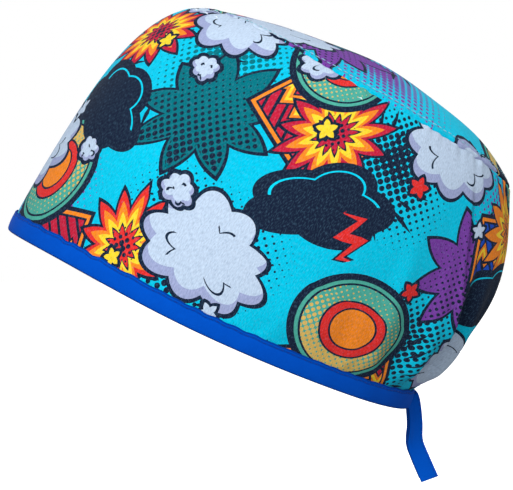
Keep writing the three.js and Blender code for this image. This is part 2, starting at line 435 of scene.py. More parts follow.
@dataclass(frozen=True)
class Ripples:
    """Small uneven waves in cloth, from seeded random waves that add up."""

    seed: int
    wavelength: float
    count: int = 9
    shortest: float = 0.6
    longest: float = 1.7

    def along(self, place: np.ndarray) -> np.ndarray:
        """Waves along a line.

        Args:
            place: places along the line, in metres.

        Returns:
            The waves' height at each place, about -1 to 1.
        """
        dice = np.random.default_rng(self.seed)
        lengths = self.wavelength * dice.uniform(self.shortest, self.longest, self.count)
        phases = dice.uniform(0, 2 * math.pi, self.count)
        waves = [np.sin(2 * math.pi * place / w + p) for w, p in zip(lengths, phases)]
        return sum(waves) / math.sqrt(self.count)

    def over(self, across: np.ndarray, up: np.ndarray) -> np.ndarray:
        """Waves over a surface.

        Args:
            across, up: places on the surface, in metres.

        Returns:
            The waves' height at each place, about -1 to 1.
        """
        dice = np.random.default_rng(self.seed)
        total = np.zeros(np.broadcast(across, up).shape)
        for _ in range(self.count):
            angle = dice.uniform(0, math.pi)
            length = self.wavelength * dice.uniform(self.shortest, self.longest)
            run = across * math.cos(angle) + up * math.sin(angle)
            total += np.sin(2 * math.pi * run / length + dice.uniform(0, 2 * math.pi))
        return total / math.sqrt(self.count)


# Meshes


def grid_mesh(name: str, points: np.ndarray, uv: np.ndarray) -> bpy.types.Object:
    """An open sheet from a grid of points, whose first and last columns are welded where they meet.

    Args:
        name: the object's name.
        points: rows by columns by 3, in the shared frame.
        uv: rows by columns by 2, the place on the printed cloth in metres.

    Returns:
        The new object.
    """
    rows, columns = points.shape[:2]
    ids = np.arange(rows * columns).reshape(rows, columns)
    faces = np.stack((ids[:-1, :-1], ids[:-1, 1:], ids[1:, 1:], ids[1:, :-1]), axis=-1).reshape(-1, 4)
    mesh = bpy.data.meshes.new(name)
    mesh.from_pydata(points.reshape(-1, 3).tolist(), [], faces.tolist())
    layer = mesh.uv_layers.new(name=PRINT_UV)
    layer.data.foreach_set("uv", uv.reshape(-1, 2)[faces.ravel()].astype(np.float32).ravel())
    shell = bmesh.new()
    shell.from_mesh(mesh)
    bmesh.ops.remove_doubles(shell, verts=shell.verts, dist=WELD_DISTANCE)
    for face in shell.faces:
        face.smooth = True
    shell.to_mesh(mesh)
    shell.free()
    return link_object(name, mesh)


def swept_mesh(name: str, rings: np.ndarray) -> bpy.types.Object:
    """A closed tube through equal rings, with flat ends.

    Args:
        name: the object's name.
        rings: rings by points by 3, in the shared frame.

    Returns:
        The new object, with its place along and round the tube as its UV map, in metres.
    """
    count, around = rings.shape[:2]
    ids = np.arange(count * around).reshape(count, around)
    after = np.roll(ids, -1, axis=1)
    sides = np.stack((ids[:-1], after[:-1], after[1:], ids[1:]), axis=-1).reshape(-1, 4)
    mesh = bpy.data.meshes.new(name)
    faces = sides.tolist() + [ids[0, ::-1].tolist(), ids[-1].tolist()]
    mesh.from_pydata(rings.reshape(-1, 3).tolist(), [], faces)
    steps = np.linalg.norm(np.diff(rings.mean(axis=1), axis=0), axis=-1)
    along = np.concatenate(([0.0], np.cumsum(steps)))
    section = np.linalg.norm(np.diff(rings[0], axis=0, append=rings[0][:1]), axis=-1)
    round_place = np.concatenate(([0.0], np.cumsum(section)))
    layer = mesh.uv_layers.new(name=PRINT_UV)
    places = []
    for ring in range(count - 1):
        for point in range(around):
            near, far = along[ring], along[ring + 1]
            low, high = round_place[point], round_place[point + 1]
            places += [near, low, near, high, far, high, far, low]
    places += [0.0] * (4 * around)
    layer.data.foreach_set("uv", places)
    shell = bmesh.new()
    shell.from_mesh(mesh)
    bmesh.ops.recalc_face_normals(shell, faces=shell.faces)
    for face in shell.faces:
        face.smooth = len(face.verts) == 4
    shell.to_mesh(mesh)
    shell.free()
    return link_object(name, mesh)


def link_object(name: str, mesh: bpy.types.Mesh) -> bpy.types.Object:
    """A new object in the scene.

    Args:
        name: the name of the object and its mesh.
        mesh: the object's mesh.

    Returns:
        The object, at the origin.
    """
    mesh.name = name
    piece = bpy.data.objects.new(name, mesh)
    bpy.context.scene.collection.objects.link(piece)
    return piece


def plain_copy(piece: bpy.types.Object) -> bpy.types.Object:
    """The object with its modifiers worked into a plain mesh, in its own place.

    Args:
        piece: an object with live modifiers, which is removed.

    Returns:
        A new object of the same name with no modifiers.
    """
    evaluated = piece.evaluated_get(bpy.context.evaluated_depsgraph_get())
    mesh = bpy.data.meshes.new_from_object(evaluated)
    name = piece.name
    bpy.data.objects.remove(piece)
    return link_object(name, mesh)


def give_wall(
    sheet: bpy.types.Object, outside: bpy.types.Material, inside: bpy.types.Material, thickness: float
) -> bpy.types.Object:
    """Gives a sheet its two materials and its thickness inwards.

    Args:
        sheet: an open sheet whose faces point out of the cap.
        outside: the material of its right side and its rims.
        inside: the material of its reverse.
        thickness: the wall's thickness in metres.

    Returns:
        The walled piece, as a new object of the same name.
    """
    sheet.data.materials.append(outside)
    sheet.data.materials.append(inside)
    wall = sheet.modifiers.new("wall", "SOLIDIFY")
    wall.thickness = thickness
    wall.offset = -1
    wall.material_offset = 1
    wall.material_offset_rim = 0
    return plain_copy(sheet)


def dress(piece: bpy.types.Object, slot: str, *nodes: str) -> None:
    """Ties a finished piece to the frame.

    Args:
        piece: the finished object.
        slot: the record's material slot for the piece, which is not used.
        nodes: the CAD nodes that it stands for.
    """
    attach(piece, "root")
    if nodes:
        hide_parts(*nodes)
    log.info("%s: %d faces", piece.name, len(piece.data.polygons))


# Shader maths


class Wire:
    """A number socket with operators, each of which adds a Math node."""

    def __init__(self, graph: "Graph", socket: bpy.types.NodeSocket) -> None:
        """Keeps the graph and the socket."""
        self.graph = graph
        self.socket = socket

    def __add__(self, other: "Number") -> "Wire":
        """The sum."""
        return self.graph.math("ADD", self, other)

    __radd__ = __add__

    def __sub__(self, other: "Number") -> "Wire":
        """The difference."""
        return self.graph.math("SUBTRACT", self, other)

    def __rsub__(self, other: "Number") -> "Wire":
        """The difference, with this wire taken away."""
        return self.graph.math("SUBTRACT", other, self)

    def __mul__(self, other: "Number") -> "Wire":
        """The product, which for masks is where both hold."""
        return self.graph.math("MULTIPLY", self, other)

    __rmul__ = __mul__

    def __truediv__(self, other: "Number") -> "Wire":
        """The quotient."""
        return self.graph.math("DIVIDE", self, other)

    def __lt__(self, other: "Number") -> "Wire":
        """1 where this is the smaller."""
        return self.graph.math("LESS_THAN", self, other)

    def __gt__(self, other: "Number") -> "Wire":
        """1 where this is the larger."""
        return self.graph.math("GREATER_THAN", self, other)

    def __or__(self, other: "Number") -> "Wire":
        """The larger, which for masks is where either holds."""
        return self.graph.math("MAXIMUM", self, other)

    def __abs__(self) -> "Wire":
        """The value without its sign."""
        return self.graph.math("ABSOLUTE", self)

    def floor(self) -> "Wire":
        """The whole number below."""
        return self.graph.math("FLOOR", self)

    def sawtooth(self) -> "Wire":
        """The part after the decimal point."""
        return self.graph.math("FRACT", self)

    def sine(self) -> "Wire":
        """The sine."""
        return self.graph.math("SINE", self)

    def cosine(self) -> "Wire":
        """The cosine."""
        return self.graph.math("COSINE", self)

    def root(self) -> "Wire":
        """The square root."""
        return self.graph.math("SQRT", self)

    def zigzag(self) -> "Wire":
        """0 at whole numbers, 1 halfway between them, straight in between."""
        return 1 - abs(self.sawtooth() * 2 - 1)


Number = Wire | float | int
Paint = bpy.types.NodeSocket | Colour


def add_node(
    tree: bpy.types.NodeTree, kind: str, settings: dict | None = None, values: dict | None = None
) -> bpy.types.Node:
    """One new node.

    Args:
        tree: the tree that it is added to.
        kind: the node's type.
        settings: its settings, set first.
        values: a value or a link for each named or numbered input.

    Returns:
        The node.
    """
    node = tree.nodes.new(kind)
    for name, value in (settings or {}).items():
        setattr(node, name, value)
    for key, value in (values or {}).items():
        source = value.socket if isinstance(value, Wire) else value
        if isinstance(source, bpy.types.NodeSocket):
            tree.links.new(source, node.inputs[key])
        else:
            node.inputs[key].default_value = source
    return node


class Graph:
    """Adds nodes to one material's tree."""

    def __init__(self, name: str) -> None:
        """A new material of that name, without nodes."""
        self.material = bpy.data.materials.new(name)
        self.material.use_nodes = True
        self.tree = self.material.node_tree
        self.tree.nodes.clear()

    def add(self, kind: str, settings: dict | None = None, values: dict | None = None) -> bpy.types.Node:
        """One new node in the material's tree, as add_node makes it."""
        return add_node(self.tree, kind, settings, values)

    def math(self, operation: str, *values: Number) -> Wire:
        """The result of a Math node."""
        node = self.add("ShaderNodeMath", {"operation": operation}, dict(enumerate(values)))
        return Wire(self, node.outputs[0])

    def mix(self, share: Number, first: Paint, second: Paint, blend: str = "MIX") -> bpy.types.NodeSocket:
        """A colour between two others."""
        settings = {"data_type": "RGBA", "blend_type": blend}
        return self.add("ShaderNodeMix", settings, {0: share, 6: first, 7: second}).outputs[2]

    def vector(self, x: Number, y: Number, z: Number = 0.0) -> bpy.types.NodeSocket:
        """A vector from three numbers."""
        return self.add("ShaderNodeCombineXYZ", None, {0: x, 1: y, 2: z}).outputs[0]

    def cloth_place(self) -> tuple[Wire, Wire]:
        """The shaded point's place on the cloth.

        Returns:
            How far across and how far up it is, in mm.
        """
        uv = self.add("ShaderNodeUVMap", {"uv_map": PRINT_UV}).outputs[0]
        split = self.add("ShaderNodeSeparateXYZ", None, {0: uv})
        return Wire(self, split.outputs[0]) / MM, Wire(self, split.outputs[1]) / MM

    def dice(self, x: Number, y: Number, seed: float) -> tuple[Wire, Wire, Wire, Wire]:
        """Random numbers that stay the same for the same x and y.

        Args:
            x, y: what the numbers belong to, such as a cell's column and row.
            seed: sets one use apart from the others.

        Returns:
            Four numbers from 0 to 1.
        """
        noise = self.add(
            "ShaderNodeTexWhiteNoise", {"noise_dimensions": "3D"}, {"Vector": self.vector(x, y, seed)}
        )
        split = self.add("ShaderNodeSeparateColor", None, {0: noise.outputs["Color"]})
        first, second, third = (Wire(self, s) for s in split.outputs)
        return first, second, third, Wire(self, noise.outputs["Value"])

    def noise(self, x: Number, y: Number, scale: float, detail: float = 2.0) -> Wire:
        """Smooth noise from 0 to 1."""
        values = {"Vector": self.vector(x, y), "Scale": scale, "Detail": detail}
        return Wire(self, self.add("ShaderNodeTexNoise", None, values).outputs[0])

    def finish(
        self, colour: Paint, roughness: Number, height: Wire, bump: float, sheen: float, gloss: float = 0.02
    ) -> None:
        """Ends the tree in a cloth surface.

        Args:
            colour: the base colour.
            roughness: the roughness.
            height: what the bump is made from, from 0 to 1.
            bump: how far the bump stands out, in metres.
            sheen: the share of soft light from the fibres.
            gloss: the strength of the plain reflection.
        """
        relief = self.add("ShaderNodeBump", None, {"Strength": 1.0, "Distance": bump, "Height": height})
        surface = self.add(
            "ShaderNodeBsdfPrincipled",
            None,
            {
                "Base Color": colour,
                "Roughness": roughness,
                "Specular IOR Level": gloss,
                "Sheen Weight": sheen,
                "Sheen Roughness": SHEEN_ROUGHNESS,
                "Normal": relief.outputs[0],
            },
        )
        self.add("ShaderNodeOutputMaterial", None, {"Surface": surface.outputs[0]})


# The print


class Motif(Enum):
    """The kinds of motif in the print."""

    DOTS = "halftone dots"
    RAYS = "speed lines"
    PANEL = "striped panel"
    BURST = "star burst"
    BADGE = "round badge"
    BLOB = "dark blob"
    PUFF = "scalloped puff"
    BOLT = "lightning bolt"
    STAR = "small star"


TURQUOISE = srgb(0, 210, 238)
DEEP_TURQUOISE = srgb(0, 184, 216)
NAVY = srgb(23, 34, 55)
WHITE = srgb(193, 210, 229)
LILAC = srgb(160, 168, 204)
CREAM = srgb(224, 198, 198)
RED = srgb(228, 48, 42)
CRIMSON = srgb(196, 30, 58)
ORANGE = srgb(248, 138, 32)
YELLOW = srgb(252, 216, 46)
GREEN = srgb(44, 156, 96)
TEAL = srgb(0, 112, 122)
PURPLE = srgb(122, 62, 160)
ROYAL = srgb(24, 78, 196)
AMBER = srgb(226, 186, 96)
SEA_GREEN = srgb(78, 172, 152)

GROUND_PATCHES = 0.012
SECOND_DRAW = 20
RAY_DRAW = 40.5
POINT_DRAW = 60.5


@dataclass(frozen=True)
class MotifLayer:
    """One kind of motif, spread over the cloth in staggered cells.

    Lengths are in mm, and lean is the most that a motif turns, in degrees. Jitter is how far it
    strays, as a share of its cell, and share is how many cells show it.
    """

    kind: Motif
    pitch: Pair
    shift: Pair
    size: Pair
    seed: float
    fills: tuple[Colour, ...]
    lobes: int = 8
    lean: float = 180.0
    jitter: float = 0.12
    share: float = 1.0
    outline: float = 1.8
    nested: bool = True


PRINT_LAYERS = (
    MotifLayer(Motif.DOTS, (98, 80), (20, 10), (44, 54), 1.5, (NAVY, NAVY, TEAL, PURPLE, NAVY), lobes=3),
    MotifLayer(Motif.RAYS, (118, 92), (64, 40), (34, 42), 2.5, (NAVY,), lobes=26),
    MotifLayer(
        Motif.BURST, (150, 112), (50, 84), (34, 42), 12.5, (PURPLE, TEAL, GREEN), lobes=9, nested=False
    ),
    MotifLayer(Motif.PANEL, (156, 108), (30, 60), (26, 32), 3.5, (RED, CRIMSON, ROYAL), lean=35),
    MotifLayer(Motif.BURST, (118, 90), (84, 26), (29, 37), 4.5, (RED, CRIMSON, ORANGE, RED), lobes=13),
    MotifLayer(Motif.BADGE, (164, 118), (40, 30), (20, 26), 5.5, (SEA_GREEN,), lobes=1, outline=3.0),
    MotifLayer(Motif.BLOB, (122, 94), (80, 70), (16, 21), 6.5, (NAVY,), lobes=5, lean=40),
    MotifLayer(Motif.PUFF, (136, 100), (70, 16), (19, 25), 7.5, (WHITE,), lobes=9, lean=30),
    MotifLayer(Motif.PUFF, (92, 74), (14, 50), (9, 13), 13.5, (CREAM, WHITE), lobes=8, lean=40, share=0.5),
    MotifLayer(Motif.BOLT, (124, 94), (70, 66), (15, 19), 8.5, (YELLOW, RED), lean=50, share=0.6),
    MotifLayer(Motif.PUFF, (60, 54), (12, 34), (5, 7), 9.5, (WHITE,), lobes=7, lean=40, share=0.5),
    MotifLayer(Motif.STAR, (50, 46), (31, 12), (4, 5.5), 10.5, (RED, YELLOW, WHITE), lobes=5, share=0.5),
)


@dataclass
class Cell:
    """One motif's own place: where the shaded point lies in it, and its random numbers."""

    x: Wire
    y: Wire
    size: Wire
    pick: Wire
    shown: Wire
    mark: Wire


class PrintPainter:
    """Paints the layers of the print over each other."""

    def __init__(self, graph: Graph) -> None:
        """Starts with bare turquoise cloth."""
        self.graph = graph
        self.across, self.up = graph.cloth_place()
        tone = graph.noise(self.across, self.up, GROUND_PATCHES)
        self.colour: Paint = graph.mix(tone, DEEP_TURQUOISE, TURQUOISE)

    def paint(self, mask: Wire, colour: Paint) -> None:
        """Lays a colour where the mask is 1."""
        self.colour = self.graph.mix(mask, self.colour, colour)

    def choose(self, pick: Wire, fills: tuple[Colour, ...]) -> Paint:
        """One of the fills, by a random number.

        Args:
            pick: the random number, from 0 to 1.
            fills: the colours to choose from, each as likely as the others.

        Returns:
            The chosen colour.
        """
        chosen: Paint = fills[0]
        for index, fill in enumerate(fills[1:], start=1):
            chosen = self.graph.mix(pick > index / len(fills), chosen, fill)
        return chosen

    def cell(self, layer: MotifLayer) -> Cell:
        """The shaded point's place in its motif.

        Args:
            layer: the layer whose cells are laid out.

        Returns:
            The place from the motif's middle, turned with it, and the motif's random numbers.
        """
        wide, high = layer.pitch
        rise = (self.up + layer.shift[1]) / high
        row = rise.floor()
        run = (self.across + layer.shift[0]) / wide + row * 0.5
        column = run.floor()
        first, second, third, mark = self.graph.dice(column, row, layer.seed)
        x = (run - column - 0.5 - (first - 0.5) * layer.jitter) * wide
        y = (rise - row - 0.5 - (second - 0.5) * layer.jitter) * high
        angle = (third - 0.5) * (2 * math.radians(layer.lean))
        sine, cosine = angle.sine(), angle.cosine()
        low, top = layer.size
        pick, size, shown, _ = self.graph.dice(column, row, layer.seed + SECOND_DRAW)
        return Cell(
            x=x * cosine + y * sine,
            y=y * cosine - x * sine,
            size=size * (top - low) + low,
            pick=pick,
            shown=shown < layer.share,
            mark=mark,
        )

    def polar(self, x: Wire, y: Wire) -> tuple[Wire, Wire]:
        """Distance from the middle, and the way round it from 0 to 1."""
        turn = self.graph.math("ARCTAN2", y, x) / (2 * math.pi) + 0.5
        return (x * x + y * y).root(), turn

    def scallops(self, cell: Cell, layer: MotifLayer, x: Wire, y: Wire, flat: float) -> Wire:
        """The rim of a scalloped oval that is wider than high.

        Args:
            cell: the motif's own place.
            layer: the layer, which says how many lobes the rim has.
            x, y: the place from the oval's middle, in mm.
            flat: how many times wider than high it is.

        Returns:
            The distance outside the rim, in mm.
        """
        lobe_depth = 0.2
        wobble_depth = 0.07
        wobbles = 3
        phase_spread = 6
        away, turn = self.polar(x / flat, y)
        bulge = abs((turn * (layer.lobes * math.pi)).sine())
        uneven = (turn * (2 * wobbles * math.pi) + cell.pick * phase_spread).sine() * wobble_depth
        return away - cell.size * (1 - lobe_depth + bulge * lobe_depth + uneven)

    def draw(self, layer: MotifLayer) -> None:
        """Paints one layer with the method of its kind.

        Args:
            layer: the layer. Each kind's method takes it with the shaded point's cell in it.
        """
        cell = self.cell(layer)
        painters = {
            Motif.DOTS: self.dots,
            Motif.RAYS: self.rays,
            Motif.PANEL: self.panel,
            Motif.BURST: self.burst,
            Motif.BADGE: self.badge,
            Motif.BLOB: self.blob,
            Motif.PUFF: self.puff,
            Motif.BOLT: self.bolt,
            Motif.STAR: self.star,
        }
        painters[layer.kind](layer, cell)

    def halftone(self, pitch: float, strength: Wire) -> Wire:
        """Round dots in slanted rows.

        Args:
            pitch: the distance between the rows, in mm.
            strength: how large the dots are, from 0 to 1.

        Returns:
            1 on a dot and 0 beside it.
        """
        largest = 0.62
        along = (self.across + self.up) / (pitch * math.sqrt(2))
        over = (self.across - self.up) / (pitch * math.sqrt(2))
        x = along.sawtooth() - 0.5
        y = over.sawtooth() - 0.5
        return (x * x + y * y).root() < strength * largest

    def dots(self, layer: MotifLayer, cell: Cell) -> None:
        """A patch of halftone dots that thins out towards its rim.

        Args:
            layer: the layer's sizes and colours.
            cell: the motif's own place.
        """
        dot_pitch = 3.3
        reach = 0.9
        wave_depth = 0.12
        away, turn = self.polar(cell.x, cell.y)
        rim = cell.size * (reach + (turn * (2 * math.pi * layer.lobes)).sine() * wave_depth)
        self.paint(self.halftone(dot_pitch, 1 - away / rim), self.choose(cell.pick, layer.fills))

    def rays(self, layer: MotifLayer, cell: Cell) -> None:
        """Pointed lines round a middle.

        Args:
            layer: the layer's sizes and colours.
            cell: the motif's own place.
        """
        nearest, near_spread = 0.42, 0.2
        farthest, far_spread = 0.8, 0.25
        thickest = 0.34
        away, turn = self.polar(cell.x, cell.y)
        place = turn * layer.lobes
        one, two, _, _ = self.graph.dice(place.floor(), cell.mark, RAY_DRAW)
        start = cell.size * (nearest + one * near_spread)
        end = cell.size * (farthest + two * far_spread)
        middle = (start + end) * 0.5
        breadth = (1 - abs(away - middle) / (end - start) * 2) * thickest
        self.paint(place.zigzag() > 1 - breadth, self.choose(cell.pick, layer.fills))

    def panel(self, layer: MotifLayer, cell: Cell) -> None:
        """A framed panel with a zigzag band between stripes.

        Args:
            layer: the layer's sizes and colours.
            cell: the motif's own place.
        """
        height_share = 0.62
        frame, frame_line = 1.6, 2.6
        stripe_pitch, stripe_share = 5.0, 0.3
        slant_x, slant_y = 0.8, 0.6
        wave_pitch, wave_height = 9.0, 6.0
        band_line, band_rim, band_core = 4.8, 3.3, 1.1
        fill = self.choose(cell.pick, layer.fills)
        outside = abs(cell.x) - cell.size | abs(cell.y) - cell.size * height_share
        for inset, colour in ((-layer.outline, NAVY), (0, ORANGE), (frame, NAVY), (frame_line, fill)):
            self.paint(outside < -inset, colour)
        inner = outside < -frame_line
        stripes = ((cell.x * slant_x + cell.y * slant_y) / stripe_pitch).sawtooth() < stripe_share
        self.paint(inner * stripes, NAVY)
        wave = ((cell.x / wave_pitch).zigzag() - 0.5) * wave_height
        band = abs(cell.y - wave)
        for half_width, colour in ((band_line, NAVY), (band_rim, ORANGE), (band_core, YELLOW)):
            self.paint(inner * (band < half_width), colour)

    def burst(self, layer: MotifLayer, cell: Cell) -> None:
        """A pointed star with uneven points, either nested or shaded by halftone dots.

        Args:
            layer: the layer's sizes and colours.
            cell: the motif's own place.
        """
        squash = 1.15
        shortest_point = 0.55
        hollow = 0.5
        line_growth = 1.6
        away, turn = self.polar(cell.x, cell.y * squash)
        place = turn * layer.lobes
        one, _, _, _ = self.graph.dice(place.floor(), cell.mark, POINT_DRAW)
        point = place.zigzag() * (shortest_point + one * (1 - shortest_point))
        reach = cell.size * (hollow + point * (1 - hollow))
        fill = self.choose(cell.pick, layer.fills)
        self.paint(away - reach < layer.outline * line_growth, NAVY)
        self.paint(away < reach, fill)
        if layer.nested:
            self.nested_stars(away, reach, fill)
            core_dots, core_strength, core_reach = 2.8, 0.9, 0.4
            dots = self.halftone(core_dots, core_strength - away / (cell.size * core_reach))
        else:
            rim_gap, shade_dots, least_strength = 2.0, 3.0, 0.45
            shade = self.halftone(shade_dots, cell.y / cell.size * 0.5 + least_strength)
            dots = (away < reach - rim_gap) * shade
        self.paint(dots, NAVY)

    def nested_stars(self, away: Wire, reach: Wire, core: Paint) -> None:
        """The smaller stars inside a burst, each a share of its reach.

        Args:
            away: the distance from the burst's middle, in mm.
            reach: how far the burst reaches in this direction, in mm.
            core: the colour of the smallest star.
        """
        for share, colour in ((0.8, ORANGE), (0.6, YELLOW), (0.42, NAVY), (0.36, core)):
            self.paint(away < reach * share, colour)

    def badge(self, layer: MotifLayer, cell: Cell) -> None:
        """A round badge with rings, shaded by halftone dots from one side.

        Args:
            layer: the layer's sizes and colours.
            cell: the motif's own place.
        """
        stretch = 1.12
        dot_pitch, dot_fading, dot_inset = 2.5, 0.9, 2.4
        line, line_inset = 0.45, 2.0
        ring, ring_line = 1.7, 2.6
        away, _ = self.polar(cell.x / stretch, cell.y)
        outside = away - cell.size
        slope = cell.y / cell.size * 0.5 + 0.5
        self.paint(outside < layer.outline, NAVY)
        self.paint(outside < 0, self.choose(cell.pick, layer.fills))
        self.paint((outside < -dot_inset) * self.halftone(dot_pitch, 1 - slope * dot_fading), AMBER)
        self.paint(abs(outside + line_inset) < line, NAVY)
        rim = abs(away - cell.size * 0.5)
        self.paint(rim < ring_line, NAVY)
        self.paint(rim < ring, RED)
        self.paint(away < cell.size * 0.5 - ring_line, ORANGE)

    def blob(self, layer: MotifLayer, cell: Cell) -> None:
        """A dark puff with a light line inside its upper rim.

        Args:
            layer: the layer's sizes and colours.
            cell: the motif's own place.
        """
        flat = 1.7
        upper_part = 0.1
        line, line_inset = 0.4, 2.6
        outside = self.scallops(cell, layer, cell.x, cell.y, flat)
        self.paint(outside < layer.outline, NAVY)
        self.paint(outside < 0, self.choose(cell.pick, layer.fills))
        upper = cell.y > cell.size * upper_part
        self.paint((abs(outside + line_inset) < line) * upper, TURQUOISE)

    def puff(self, layer: MotifLayer, cell: Cell) -> None:
        """A pale puff with lilac shade along its lower side and a few short lines.

        Args:
            layer: the layer's sizes and colours.
            cell: the motif's own place.
        """
        flat = 1.35
        shade_aside, shade_lift, shade_inset = 1.0, 0.14, 0.8
        marks_aside, marks_drop, marks_inset, marks_line = 1.5, 1.0, 0.38, 0.5
        marks, marks_share = 3, 0.3
        outside = self.scallops(cell, layer, cell.x, cell.y, flat)
        lifted = cell.y - cell.size * shade_lift
        shaded = self.scallops(cell, layer, cell.x + shade_aside, lifted, flat)
        self.paint(cell.shown * (outside < layer.outline), NAVY)
        inside = cell.shown * (outside < 0)
        self.paint(inside, self.choose(cell.pick, layer.fills))
        self.paint(inside * (shaded > -shade_inset), LILAC)
        inner = self.scallops(cell, layer, cell.x - marks_aside, cell.y + marks_drop, flat)
        line = abs(inner + cell.size * marks_inset) < marks_line
        _, turn = self.polar(cell.x, cell.y)
        self.paint(inside * line * ((turn * marks + cell.pick).sawtooth() < marks_share), NAVY)

    def bolt(self, layer: MotifLayer, cell: Cell) -> None:
        """A zigzag bolt that tapers to a point.

        Args:
            layer: the layer's sizes and colours.
            cell: the motif's own place.
        """
        zigzags, phase, swing = 1.5, 0.25, 9.0
        slant = 4.0
        widest, widest_at, taper = 4.6, 0.35, 0.8
        run = cell.y / cell.size
        lean = ((run * zigzags + phase).zigzag() - 0.5) * swing
        breadth = (1 - abs(run + widest_at)) * widest - abs(run) * taper
        outside = abs(cell.x - lean - run * slant) - breadth
        shown = cell.shown * (abs(run) < 1)
        self.paint(shown * (outside < layer.outline), NAVY)
        self.paint(shown * (outside < 0), self.choose(cell.pick, layer.fills))

    def star(self, layer: MotifLayer, cell: Cell) -> None:
        """A small star.

        Args:
            layer: the layer's sizes and colours.
            cell: the motif's own place.
        """
        point_depth = 0.5
        away, turn = self.polar(cell.x, cell.y)
        reach = cell.size * (1 - (turn * layer.lobes).zigzag() * point_depth)
        self.paint(cell.shown * (away - reach < layer.outline), NAVY)
        self.paint(cell.shown * (away < reach), self.choose(cell.pick, layer.fills))

    @classmethod
    def whole(cls, graph: Graph) -> "PrintPainter":
        """A painter that has painted every layer of the print.

        Args:
            graph: the material's nodes.

        Returns:
            The painter, whose colour is the finished print.
        """
        painter = cls(graph)
        for layer in PRINT_LAYERS:
            painter.draw(layer)
        return painter


@dataclass(frozen=True)
class Weave:
    """Plain woven cotton: fine threads both ways, more marked upwards. Pitches are in mm."""

    pitch: float = 0.55
    streak: float = 7.0
    grain_pitch: float = 0.7
    thread_share: float = 0.25
    grain_share: float = 0.35

    def height(self, graph: Graph) -> Wire:
        """The relief of the threads.

        Args:
            graph: the material's nodes.

        Returns:
            The height, about 0 to 1.
        """
        across, up = graph.cloth_place()
        warp = (across * (2 * math.pi / self.pitch)).sine()
        weft = (up * (2 * math.pi / self.pitch)).sine()
        grain = graph.noise(across / self.grain_pitch, up / self.streak, 1.0)
        return warp * weft * self.thread_share + 0.5 + (grain - 0.5) * self.grain_share

    def grain(self, graph: Graph) -> Wire:
        """Light and dark threads, about 0.5 in the middle."""
        across, up = graph.cloth_place()
        return graph.noise(across / self.pitch, up / self.streak, 1.0, 1.0)


@dataclass(frozen=True)
class PrintedCotton:
    """The right side of the printed cotton. Pitches are in mm."""

    name: str = "printed_cotton"
    weave: Weave = field(default_factory=Weave)
    streak_tone: Colour = srgb(200, 204, 212)
    streak_share: float = 0.6
    thread_tone: Colour = srgb(168, 176, 190)
    thread_pitch: Pair = (0.5, 1.6)
    thread_clear: float = 0.36
    thread_share: float = 1.2
    lint_tone: Colour = srgb(120, 170, 206)
    lint_pitch: Pair = (0.45, 1.5)
    lint_share: float = 0.5
    roughness: float = 0.84
    roughness_spread: float = 0.1
    relief: float = 0.0001
    sheen: float = 0.03

    def material(self) -> bpy.types.Material:
        """The print under its light and dark threads and its lint.

        Returns:
            The finish as a material.
        """
        graph = Graph(self.name)
        painter = PrintPainter.whole(graph)
        grain = self.weave.grain(graph)
        shaded = graph.mix(grain * self.streak_share, painter.colour, self.streak_tone, "MULTIPLY")
        wide, high = self.thread_pitch
        threads = graph.noise(painter.across / wide, painter.up / high, 1.0, 1.0)
        share = (threads - self.thread_clear) * self.thread_share
        woven = graph.mix(share, shaded, self.thread_tone, "MULTIPLY")
        wide, high = self.lint_pitch
        lint = graph.noise(painter.across / wide, painter.up / high, 1.0, 1.0)
        worn = graph.mix((lint - 0.5) * self.lint_share, woven, self.lint_tone)
        roughness = self.roughness + grain * self.roughness_spread
        graph.finish(worn, roughness, self.weave.height(graph), self.relief, self.sheen)
        return graph.material


@dataclass(frozen=True)
class CottonReverse:
    """The reverse of the printed cotton: white, with the print showing faintly through."""

    name: str = "cotton_reverse"
    weave: Weave = field(default_factory=Weave)
    pale_tone: Colour = srgb(232, 240, 244)
    pale_share: float = 0.72
    streak_tone: Colour = srgb(190, 205, 215)
    streak_share: float = 0.2
    roughness: float = 0.88
    relief: float = 0.00012
    sheen: float = 0.1

    def material(self) -> bpy.types.Material:
        """The print under a pale veil and its light and dark threads.

        Returns:
            The finish as a material.
        """
        graph = Graph(self.name)
        painter = PrintPainter.whole(graph)
        grain = self.weave.grain(graph)
        pale = graph.mix(self.pale_share, painter.colour, self.pale_tone)
        dimmed = graph.mix(grain * self.streak_share, pale, self.streak_tone)
        graph.finish(dimmed, self.roughness, self.weave.height(graph), self.relief, self.sheen)
        return graph.material


